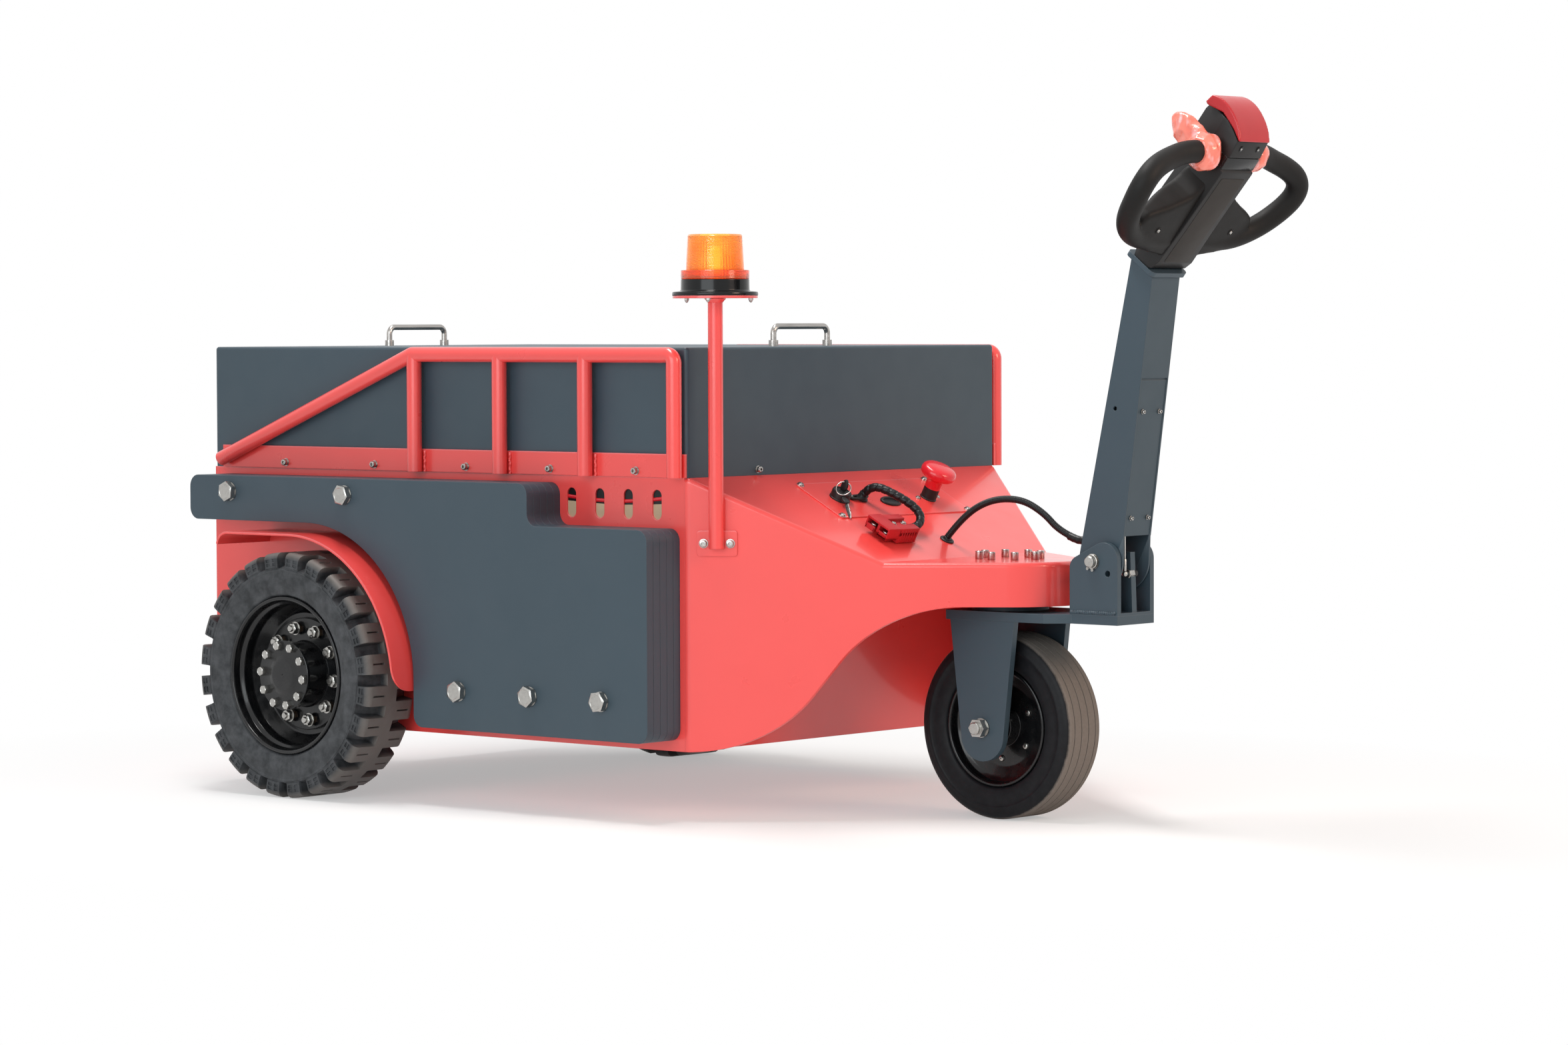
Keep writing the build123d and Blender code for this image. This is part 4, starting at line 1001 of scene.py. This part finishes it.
bowAt = keyBase + deckOut * keys["bow"]
slab("keyBow", oval(6.6, 11, pinch=0.12), bowAt, deckDown, deckOut, 4.2, "plastic")
slab("keyShank", keys["shank"], bowAt, deckDown, deckOut, 2.2, "zinc")
ringPlace, ringAcross, ringDown = keys["ring"]
ringLine = loop(deck.at(*ringPlace), Vector(ringAcross), deck.way(*ringDown), keys["ringRadius"])
tube("keyRing", ringLine, 1.0, "chassis", "stainless", sides=10, step=0.8)
hangWay = deck.way(0.867, -0.495, 0).normalized()
hangSide = deckOut.cross(hangWay).normalized()
hangAt = deck.at(*keys["spare"])
slab("spareKeyBow", oval(6.4, 10.5, pinch=-0.15), hangAt, hangSide, hangWay, 4.0, "plastic")
slab("spareKeyBlade", keys["blade"], hangAt, hangSide * 0.72 + deckOut * 0.69, hangWay - deckOut * 0.22, 1.8, "zinc",
     soft=0.06)

cableSlot = {"down": 106, "ring": (11.5, 20, 2.6), "floor": (10.5, 19)}  # half sizes, and the ring's tube, mm
across, along, thick = cableSlot["ring"]
slotLine = loop(deck.at(cableSlot["down"], 0, 3.2), deckDown, left, across, along)
tube("cableSlotRing", slotLine, thick, "chassis", "plastic", sides=12, step=1.2)
slab("cableSlotFloor", oval(*cableSlot["floor"], 40), deck.at(cableSlot["down"], 0, 2.4), deckDown, left, 1.6, "cord",
     soft=0.05)

leadAnchor = {
    "strap": [(86, -86, 3), (90, -90, 4), (95, -86, 5), (99, -76, 6), (101, -64, 8), (98, -56, 10), (92, -57, 9),
              (88, -66, 6), (86, -78, 4), (86, -86, 3)],
    "gland": [(0, 0), (10.5, 0), (10.5, 3), (9, 5), (7.4, 9), (6.6, 14), (0, 14)],
}
tube("leadAnchorStrap", [deck.at(*at) for at in leadAnchor["strap"]], 2.6, "chassis", "plastic", sides=10, step=1.2)
onDeck("leadGland", leadAnchor["gland"], deck.at(94, -63, 2), "plastic")
fasteners("anchorScrew", "pan", [(deck.at(88, -84, 5), deckOut)], size=0.62, seed=2)

conduitEnds = {
    "grommet": [(0, 0), (11.8, 0), (12, 1.8), (10.6, 3.0), (8.2, 3.4), (7.6, 2.6), (0, 2.6)],
    "gland": [(7.2, 0), (7.2, 1.5), (6.4, 3.6), (5.9, 3.8)],
    # ahead of the rear axle and up: the sleeve on the arm
    "sleeve": [(1314, 454.6), (1300, 452.2), (1288, 451.0), (1277, 451.9), (1268, 454.4), (1259, 457.6)],
}
first, second = (rel(*point) for point in controlConduit["route"][:2])
hole = deck.at(231, 11, 0)
onDeck("conduitGrommet", rounded(conduitEnds["grommet"], 0.6), hole, "plastic")
spun("conduitGland", rounded(conduitEnds["gland"], 0.5), hole + deckOut * 2.2, second - first, "plastic", "chassis",
     40)
tube("conduitBoot", [rel(x, 0, z) for x, z in conduitEnds["sleeve"]], 6.5, "tiller", "cord", 0.15, 9.0, 0.8, 20, 70)
print("deck fittings made")


# ---------- beacon

beacon = {
    "low": 868.5,
    "high": 939.5,
    "band": 2.1,  # pitch of the steps on the plain band
    "flutes": (46.4, 43.4, 2.15),  # radius at the foot and at the top, pitch
    "lamp": [(0, 872), (15, 872), (16, 882), (15, 924), (9, 931), (0, 932)],
    "flange": [(0, 842), (68.2, 842), (68.5, 845), (67.6, 848), (64, 848.6), (56.4, 849.4), (54.6, 851),
               (54.3, 867.6), (53, 868.5), (0, 868.5)],
    "weld": [(12, 831), (13.5, 833), (17.5, 837.5), (12, 838)],
    "liner": [(871, 0.94), (871.4, 1), (884, 0.99), (932, 0.92), (933, 0.6)],  # height and scale of the inner prism
    "prisms": (35.6, 38.5),  # its inner and outer radius
}
beaconFoot = rel(post["x"], post["y"], 0)


def lensProfile():
    low, high = beacon["low"], beacon["high"]
    narrow, top, pitch = beacon["flutes"]
    profile = [(0, low), (53.6, low), (54.5, low + 1)]
    for k in range(6):
        z = low + 1 + k * beacon["band"]
        profile += [(54.5, z + 0.3), (54.0, z + 1.4), (54.5, z + 1.8)]
    profile += [(54.0, low + 13.8), (47.2, low + 14.6)]
    z = low + 15
    while z < high - 4:
        radius = narrow + (top - narrow) * (z - low - 14) / (high - low - 14)
        profile += [(radius - 0.7, z), (radius + 0.25, z + pitch / 2)]
        z += pitch
    return profile + [(43.3, high - 2.6), (42.2, high - 0.8), (40, high), (0, high)]


def linerRings(teeth=96):
    ring = [Vector((c, s, 0)) * beacon["prisms"][k % 2] for k, (c, s) in enumerate(circle(teeth))]
    return [[beaconFoot + point * scale + up * height for point in ring] for height, scale in beacon["liner"]]


lens = spun("beaconLens", lensProfile(), beaconFoot, up, "amber", "chassis", 96, 30)
standsFor(lens, "beacon_lens")
makeMesh("beaconLiner", ringLoops(linerRings()), "amber", "chassis", 60)
spun("beaconLamp", rounded(beacon["lamp"], 3), beaconFoot, up, "lamp", "chassis", 48, 50)
base = spun("beaconFlange", rounded(beacon["flange"], 0.9), beaconFoot, up, "beaconBlack", "chassis", 112, 40)
standsFor(base, "beacon_base")
spun("postWeld", rounded(beacon["weld"], 1.0), beaconFoot, up, "coral", "chassis", 56, 60)
print("beacon made")


# ---------- charge connector

def blocks(name, place, boxes, finish, body, soft):  # boxes with softened edges, given by their ends along a frame
    verts, faces = [], []
    for a0, a1, b0, b1, c0, c1 in boxes:
        start = len(verts)
        verts += [place.at(a, b, c) for c in (c0, c1) for a, b in ((a0, b0), (a1, b0), (a1, b1), (a0, b1))]
        for corners in ((0, 3, 2, 1), (4, 5, 6, 7), (0, 1, 5, 4), (1, 2, 6, 5), (2, 3, 7, 6), (3, 0, 4, 7)):
            faces.append(tuple(start + k for k in corners))
    return softened(makeMesh(name, (verts, faces), finish, body), soft, 2)


connectorSpec = {
    "at": (209, -114, 2),
    "boxes": [  # ends down the deck, to the left and out of it, mm
        # hood
        (-25, 25, -41, -11, 22.5, 26.5), (-25, -22.2, -40.4, -8, 9, 24), (22.2, 25, -40.4, -8, 9, 24),
        (-2.6, 2.6, -37, -8, 8, 24), (-24.4, 24.4, -16, -8, 7, 25),
        # far tray, near tray
        (-23.5, -4.4, -40, -8, 5.5, 8.5), (-23.5, -4.4, -40, -36.8, 5.5, 14), (-23.5, -21, -40, -10, 5.5, 12),
        (-6.9, -4.4, -40, -10, 5.5, 12),
        (4.4, 23.5, -40, -8, 5.5, 8.5), (4.4, 23.5, -40, -36.8, 5.5, 14), (21, 23.5, -40, -10, 5.5, 12),
        (4.4, 6.9, -40, -10, 5.5, 12),
        # rear half and its rails
        (-25, 25, -11, 37, 0, 19), (-25, -10.5, -12, 36.4, 12, 24.4), (9.5, 25, -12, 37, 12, 25.6),
        (-4, 4, 9, 17, 17, 20.5), (-25.4, -24, -9, 35, 1, 21),
    ],
    "ribs": (7, -4, 6.1, 1.6),  # count, first, pitch, width
    "contacts": (("High", -14), ("Low", 14)),
    "screws": (3, 28),
}
connectorFrame = Frame(deck.at(*connectorSpec["at"]), deckDown, left, deckOut)
count, first, pitch, width = connectorSpec["ribs"]
ribs = [(24.4, 26.0, first + pitch * k, first + pitch * k + width, 0.8, 22.5) for k in range(count)]
connector = blocks("chargeConnector", connectorFrame, connectorSpec["boxes"] + ribs, "connectorRed", "chassis", 0.7)
standsFor(connector, "charge_connector")
tongue = [(-6.4, 22), (-6.4, 3), *[(6.4 * c, 3 + 5.5 * s) for c, s in arc(1, 198, 342, 8)], (6.4, 3), (6.4, 22)]
contacts = [slab("contact" + name, tongue, connectorFrame.at(down, -34.5, 14.2), deckDown, left, 4.4, "zinc", soft=0.3)
            for name, down in connectorSpec["contacts"]]
screws = [(connectorFrame.at(-3.5, y, 19), deckOut) for y in connectorSpec["screws"]]
connectorScrews = fasteners("connectorScrews", "pan", screws, size=0.86, seed=3)


# ---------- tiller joint: ring on the pin, arm ends, gas spring

pinRing = {
    "out": 52.9,
    "radius": 10.3,
    "span": (-82, 236),  # degrees, open between the ears
    "ears": (-124.0, -82.0),
    "earRadius": 13.3,
    "ear": [(0.9, 0.9), (0.9, 0), (2.4, 0), (2.4, 1.8), (0.9, 1.8), (0.9, 1.0)],
}
# from the pin, ahead and up, mm: the front edge, the round end, and the hollow that clears the pin
armEnd = [(46, 54), (50.4, 41), (49.6, 14), (49, 0), *arc(49, -8, -128, 14), *arc(13, -128, 40, 14)]
spring = {  # (radius, distance), mm
    "ball": (38.5, -16.7, -19.5),  # from the pin
    "rod": [(0, -4.9), *arc(4.9, -75, 75, 10), (2.9, 4.6), (3.0, 22.6), (2.6, 23.4), (1.8, 23.6), (1.7, 143),
            (0, 143)],
    "stud": [(0, 0), (2.4, 0), (2.4, 14), (0, 14)],
    "hex": [(0, 0), (6.4, 0.2), (7.3, 1.0), (7.3, 5.2), (6.5, 6.0), (7.3, 6.8), (7.3, 11.2), (6.4, 12.0), (0, 12.2)],
    "sleeve": [(0, 0), (6.4, 0), (6.4, 7.6), (0, 7.6)],
}
tiltPin = rel(machine["tiltX"], 0, machine["tiltZ"])
for side, hand in hands:
    middle = tiltPin + left * side * pinRing["out"]
    ring = [middle + ahead * x + up * z for x, z in arc(pinRing["radius"], *pinRing["span"], 32)]
    tube("pinRing" + hand, ring, 1.4, "steering", "zinc", sides=10, step=0.8)
    for k, degrees in enumerate(pinRing["ears"]):
        turn = math.radians(degrees)
        place = middle - left * side * 0.9 + (ahead * math.cos(turn) + up * math.sin(turn)) * pinRing["earRadius"]
        spun("pinEar" + hand + str(k), pinRing["ear"], place, left * side, "zinc", "steering", 20, 50)
for side, hand in hands:
    slab("armEnd" + hand, armEnd, tiltPin + left * side * 34.6, ahead, up, 3.6, "slate", "tiller", 0.012)

ball = tiltPin + Vector(spring["ball"])
rod = spun("springRod", spring["rod"], ball, up, "zinc", "spring_rod", 32, 40)
standsFor(rod, "spring_rod")
fasteners("ballStudNut", "hubBolt", [(ball + left * 6.6, left)], "steering", "zinc", 0.86, 5)
for name, profile, y, finish, sides, smooth in (
        ("ballStud", spring["stud"], 2.5, "zinc", 20, 35), ("ballStudHex", spring["hex"], 7.6, "zinc", 6, 30),
        ("ballStudSleeve", rounded(spring["sleeve"], 1.0), 19.8, "plastic", 32, 35)):
    spun(name, profile, ball + left * y, left, finish, "steering", sides, smooth)
for side, hand in hands:
    foot = [rel(x, side * 48.4, 341 + 0.5 * math.sin(x * 1.3)) for x in range(1298, 1388, 2)]
    tube("cheekWeld" + hand, foot, 2.6, "steering", "slate", 0.5, 4.2, 0.7, 12, 60)
print("connector and tiller joint made")


# ---------- guard welds, and what shows through the side slots

slots = {
    "middle": 638,  # ahead of the rear axle
    "board": [(-118, -20), (118, -20), (118, 13), (62, 10.5), (0, 9), (-64, 11.5), (-118, 14.5)],
    "shade": [(-118, -18), (118, -18), (118, 18), (-118, 18)],
    "cable": (520, 756, 519.5, 7.5),  # from, to, height, sag
    "posts": (200, 398, 590),  # guard posts that have a bead
}
for side, hand in hands:
    for k, x in enumerate(slots["posts"]):
        bead = [rel(x + 13.6 + 0.5 * math.sin(z * 0.5), side * (402.6 + 0.4 * math.sin(z * 0.8)), z)
                for z in range(552, 588)]
        tube("postWeld" + hand + str(k), bead, 2.3, "chassis", "coral", 0.25, 3.1, 0.5, 10, 60)
    slab("slotBoard" + hand, slots["board"], rel(slots["middle"], side * 393.3, 497), ahead, up, 0.8, "board",
         soft=0.004)
    # painted shade: a black sheet behind each row of slots stands for the shade inside the body
    slab("slotShade" + hand, slots["shade"], rel(slots["middle"], side * 392.8, 520), ahead, up, 0.6, "cord",
         soft=0.004)
    first, last, high, sag = slots["cable"]
    cable = [rel(x, side * 391.3, high - sag * math.sin(math.pi * (x - first) / (last - first)))
             for x in range(first, last + 1, 6)]
    tube("slotCable" + hand, cable, 3.5, "chassis", "red", sides=12, step=3)
print("slots made")


# ---------- fenders with their low front corner rounded

fenderCorner = {"outer": 517.0, "radius": 40.0, "past": 8.0, "ahead": (190, 280)}  # mm


def roundedFender(name, node, side):  # a copy of the node with its corner cut round
    source = frame["nodes"][node]
    copied = source.data.copy()
    copied.transform(source.matrix_world)
    holder = placed(name, copied)
    first, last = (rel(x, 0, 0).x for x in fenderCorner["ahead"])
    foot = min(vertex.co.z for vertex in copied.vertices if vertex.co.x / mm > first) / mm
    outer, radius, past = (fenderCorner[key] for key in ("outer", "radius", "past"))
    corner = [(outer + past, foot - past), (outer + past, foot + radius),
              *arc(radius, 0, -90, 12, (outer - radius, foot + radius)), (outer - radius, foot - past)]
    cutter = makeMesh(name + "Cutter", ringLoops([[(x, side * y, z) for y, z in corner] for x in (first, last)]),
                      "coral", "chassis")
    cut = holder.modifiers.new("cut", "BOOLEAN")
    cut.operation = "DIFFERENCE"
    cut.object = cutter
    mesh = grownMesh(holder)
    bpy.data.objects.remove(holder)
    bpy.data.objects.remove(cutter)
    standsFor(settle(placed(name, mesh), "coral", "chassis", 30), node)


for side, hand in hands:
    roundedFender("fender" + hand, "fender_" + hand.lower(), side)
print("fenders made")


# ---------- control head

def blended(name, solids, voxel, rounds, finish, crinkle=None):  # one moulded skin over closed forms, mm
    verts, faces = [], []
    for points, corners in solids:
        faces += [tuple(index + len(verts) for index in face) for face in corners]
        verts += points
    holder = placed(name + "Base", plainMesh(name + "Base", verts, faces=faces))
    faceOutward(holder)
    skin = holder.modifiers.new("skin", "REMESH")
    skin.mode = "VOXEL"
    skin.voxel_size = voxel * mm
    ease = holder.modifiers.new("ease", "SMOOTH")
    ease.iterations = rounds
    mesh = grownMesh(holder)
    bpy.data.objects.remove(holder)
    mesh.name = name
    if crinkle:
        size, depth, seed = crinkle
        moves = []
        for vertex in mesh.vertices:
            ridge = 0.5 - abs(noise.noise(vertex.co / (size * mm) + Vector((seed, 0, 0))))
            fine = 0.5 - abs(noise.noise(vertex.co / (size * 0.42 * mm) + Vector((0, seed, 3))))
            moves.append(vertex.normal * (ridge + fine * 0.12 - 0.4) * depth * mm)
        for vertex, move in zip(mesh.vertices, moves):
            vertex.co += move
    return settle(placed(name, mesh), finish, "tiller", 60)


housing = {
    # up the head, front face, back face, mm
    "stations": [(2, 13, -17), (7, 22, -19), (22, 27.5, -26), (60, 29.5, -42), (84, 30.8, -50), (150, 34, -46),
                 (200, 36.4, -54), (203.4, 36.2, -54.5), (205.4, 31.6, -55), (227.6, 31.6, -58), (229.4, 33.4, -58.4),
                 (257, 30.6, -58), (266, 12, -55), (272, -4, -46)],
    "half": 41.0,
    "foot": 4.5,  # how much wider the foot is
    "footEnd": 120,
    "bevelFrom": -12.0,
    "bevelSlope": 16 / 51,
}


def makeHousing():
    rings = []
    for u, front, back in housing["stations"]:
        share = min(1.0, u / housing["footEnd"])
        half = housing["half"] + housing["foot"] * (1 - share * share * (3 - 2 * share))
        turn = min(housing["bevelFrom"], front - 6)
        inner = half - (turn - back) * housing["bevelSlope"]
        outline = ((-half, front), (half, front), (half, turn), (inner, back), (-inner, back), (-half, turn))
        rings.append([head.at(u, y, n) for y, n in outline])
    return softened(makeMesh("headHousing", ringLoops(rings), "headPlastic", "tiller"), 2.2, 3, 16)


grip = {
    "radius": 18.0,
    # up the head, out of its face, across, mm
    "path": [(216, 2, 60), (216, 1, 84), (211, -1, 108), (204, 2, 134), (198, 9, 164), (189, 18, 190), (174, 25, 204),
             (155, 27, 206), (135, 26, 200), (115, 23, 191), (97, 20, 179), (80, 17, 161), (67, 15, 138),
             (60, 14, 112), (57, 12, 84), (56, 10, 40)],
    # across, low edge, high edge, back, front
    "wing": [(28, 26, 184, -26, 26), (41, 31, 170, -26, 26.6), (48, 33, 158, -25, 27), (57, 35, 147, -24, 27.2),
             (69, 37, 139.5, -22, 27.4), (83, 39, 133, -19, 27.4), (98, 42, 125.5, -14, 27.4), (111, 45, 121, -8, 27),
             (122, 48, 116, -4, 26), (134, 52, 110, 0, 25), (142, 56, 100, 3, 24)],
    "wingCorner": 7.0,
}


def makeGrip(name, side):
    line = smoothRoute(name + "Line", [head.at(u, side * y, n) for u, n, y in grip["path"]])
    loops = [ringLoops(pipeRings([point / mm for point in line], grip["radius"], 24, headUp))]
    wings = []
    for y, low, high, back, front in grip["wing"]:
        section = rectangle(high - low, front - back, grip["wingCorner"], 4)
        wings.append([head.at(u + (high + low) / 2, side * y, n + (front + back) / 2) for u, n in section])
    return blended(name, loops + [ringLoops(wings)], 2.4, 7, "gripRubber")


standsFor(makeHousing(), "head_housing")
for side, hand in hands:
    standsFor(makeGrip("grip" + hand, side), "grip_" + hand.lower())

button = frame["nodes"]["belly_button"]
solid = ([button.matrix_world @ vertex.co / mm for vertex in button.data.vertices],
         [tuple(polygon.vertices) for polygon in button.data.polygons])
standsFor(blended("bellyButton", [solid], 1.5, 7, "buttonRed"), "belly_button")

face = {
    "low": (22, 27.5),  # up the head and out: ends of its front face
    "high": (200, 36.4),
    "panel": (168, 62, 3.5),  # long, wide, corner
    "window": (21.5, 84.4, 2.0),
    "windowAt": (216.4, 0, 31.2),
    "cheek": [(-11, -8), (11, -8), (11, 7.5), (-11, 7.5)],
    "cheekAt": (216.4, 41.6, 22),
    "cup": [(0, 0), (5.8, 0), (5.8, 1.0), (4.8, 1.5), (4.2, 0.2), (0, 0.2)],
    "cupAt": (83, 96, 27.2),
    "chinHole": (5.2, 3.6, 24),
    "chinAt": (244.5, 22.5, 31.6),
}


def onHead(key, side=1):
    u, y, n = face[key]
    return head.at(u, side * y, n)


faceLow, faceHigh = (head.at(u, 0, n) for u, n in (face["low"], face["high"]))
run = (faceHigh - faceLow).normalized()
faceOut = left.cross(run)
slab("headPanel", rectangle(*face["panel"]), faceLow + run * 85 + faceOut * 0.1, run, left, 1.2, "panelPlastic",
     "tiller", 0.006)
slab("headWindow", rectangle(*face["window"]), onHead("windowAt"), headUp, left, 3.2, "blackGloss", "tiller", 0.02)
for side, hand in hands:
    slab("windowCheek" + hand, face["cheek"], onHead("cheekAt", side), headUp, headOut, 1.2, "blackGloss", "tiller",
         0.06)
    spot = onHead("cupAt", side)
    spun("wingScrewCup" + hand, face["cup"], spot, headOut, "headPlastic", "tiller", 32)
    fasteners("wingScrew" + hand, "cross", [(spot + headOut * 0.2, headOut)], "tiller", "zinc", 0.8, 2)
    hole = onHead("chinAt", side)
    # painted shade: a black oval sheet stands for the dark inside of the screw hole
    slab("chinHole" + hand, oval(*face["chinHole"]), hole, headUp, left, 3.0, "cord", "tiller", 0.1)
    fasteners("chinScrew" + hand, "cross", [(hole + headOut * 1.0, headOut)], "tiller", "zinc", 0.5, 4)

film = {
    "axis": (216, 2),  # the grip's axis, up and out
    "collar": [(46, 24), (50, 29), (58, 31), (67, 30), (75, 26), (82, 20.5)],  # across, radius
    # centre up and out, half width, half thickness
    "paddle": [(214, -6, 29, 12), (218, -34, 27, 12), (223, -54, 23, 11), (227, -68, 17, 9), (227, -79, 7, 5)],
    "ear": [(214, 6, 24, 12), (228, 10, 21, 11), (240, 12, 13, 8), (246, 12, 5, 4)],
    "across": {"paddle": 60, "ear": 58},
    "crinkle": (27.0, 7.0),
}


def lobe(kind, side):  # a flap of the film
    stations, across = film[kind], film["across"][kind]
    centres = [Vector((u, n)) for u, n, wide, thick in stations]
    rings = []
    for k, (u, n, wide, thick) in enumerate(stations):
        along = (centres[min(k + 1, len(centres) - 1)] - centres[max(k - 1, 0)]).normalized()
        rings.append([head.at(u - along.y * wide * c, side * (across + thick * s), n + along.x * wide * c)
                      for c, s in circle(20)])
    return ringLoops(rings)


for side, hand in hands:
    u, n = film["axis"]
    collar = [[head.at(u + radius * c, side * y, n + radius * s) for c, s in circle(32)]
              for y, radius in film["collar"]]
    solids = [ringLoops(collar), lobe("paddle", side), lobe("ear", side)]
    knob = blended("speedKnob" + hand, solids, 1.5, 4, "film", (*film["crinkle"], 2.0 + side))
    standsFor(knob, "speed_knob_" + hand.lower())
print("control head made")


# ---------- light, backdrop

studio = {
    "ambient": 0.44,  # what the white room gives from all round
    "lamps": {  # watts, place and size in metres, tint
        "side": (126, (1.6, -5.6, 2.0), (4.2, 3.0), (0.9, 0.97, 1.0)),
        "front": (84, (4.8, 0.6, 2.6), (1.6, 1.6), (1.0, 0.68, 0.5)),
        "top": (150, (-0.4, -0.6, 4.6), (3.0, 0.8), (1.0, 0.98, 0.96)),
    },
    "aim": (0.1, 0, 0.5),
    "shadow": 0.6,  # how much of the floor's shadow shows
    "reach": (1900, 1500),  # half length and width of the patch that shows it, mm
    "floor": 30,  # half width, metres
    "tones": ((0.93, 0.93, 0.93, 1), (0.96, 0.96, 0.96, 1)),
}
white = (1, 1, 1, 1)


def seenWhite(tree):  # 1 where the room or the floor is looked at, also in a mirror or through glass
    rays = addNode(tree, "ShaderNodeLightPath").outputs
    seen, mirrored, through = (Wire(tree, rays[f"Is {kind} Ray"]) for kind in ("Camera", "Glossy", "Transmission"))
    return seen.most(mirrored).most(through)


def addWorld():
    world = bpy.data.worlds.new("whiteRoom")
    scene.world = world
    world.use_nodes = True
    tree = world.node_tree
    tree.nodes.clear()
    plain = addNode(tree, "ShaderNodeBackground", None, {1: studio["ambient"]})
    seen = addNode(tree, "ShaderNodeBackground", None, {0: white})
    choose = addNode(tree, "ShaderNodeMixShader", None, {0: seenWhite(tree), 1: plain.outputs[0], 2: seen.outputs[0]})
    addNode(tree, "ShaderNodeOutputWorld", None, {0: choose.outputs[0]})


def addLamp(name, power, place, size, tint):
    data = bpy.data.lights.new(name + "Light", "AREA")
    data.shape = "RECTANGLE"
    data.size, data.size_y = size
    data.energy = power
    data.color = tint
    lamp = placed(name + "Light", data)
    lamp.location = place
    lamp.rotation_euler = (Vector(studio["aim"]) - Vector(place)).to_track_quat("-Z", "Y").to_euler()


def addFloor():  # white to the camera, with a part of its own shade showing
    half = studio["floor"] / mm
    data = plainMesh("studioFloor", [(-half, -half, 0), (half, -half, 0), (half, half, 0), (-half, half, 0)],
                     faces=[(0, 1, 2, 3)])
    floor = placed("studioFloor", data)
    paint = Paint("paleFloor", Roughness=0.9, Specular_IOR_Level=0.1)
    low, high = studio["tones"]
    tone = paint.node("ShaderNodeMix", {"data_type": "RGBA"}, {0: paint.noise(900, 2), 6: low, 7: high}, 2)
    data.materials.append(paint.feed(Base_Color=tone))
    glow = paint.node("ShaderNodeEmission", None, {0: white, 1: 1.0})
    long, wide = studio["reach"]
    x, y = paint.part("X") / long, paint.part("Y") / wide
    shade = (1 - paint.ramp((x * x + y * y) ** 0.5, 0.45, 1.0)) * studio["shadow"]
    blend = paint.node("ShaderNodeMixShader", None,
                       {0: seenWhite(paint.tree) * (1 - shade), 1: paint.shader.outputs[0], 2: glow})
    paint.tree.links.new(blend.socket, paint.output.inputs[0])


addWorld()
for name, lamp in studio["lamps"].items():
    addLamp(name, *lamp)
addFloor()
print("studio ready")
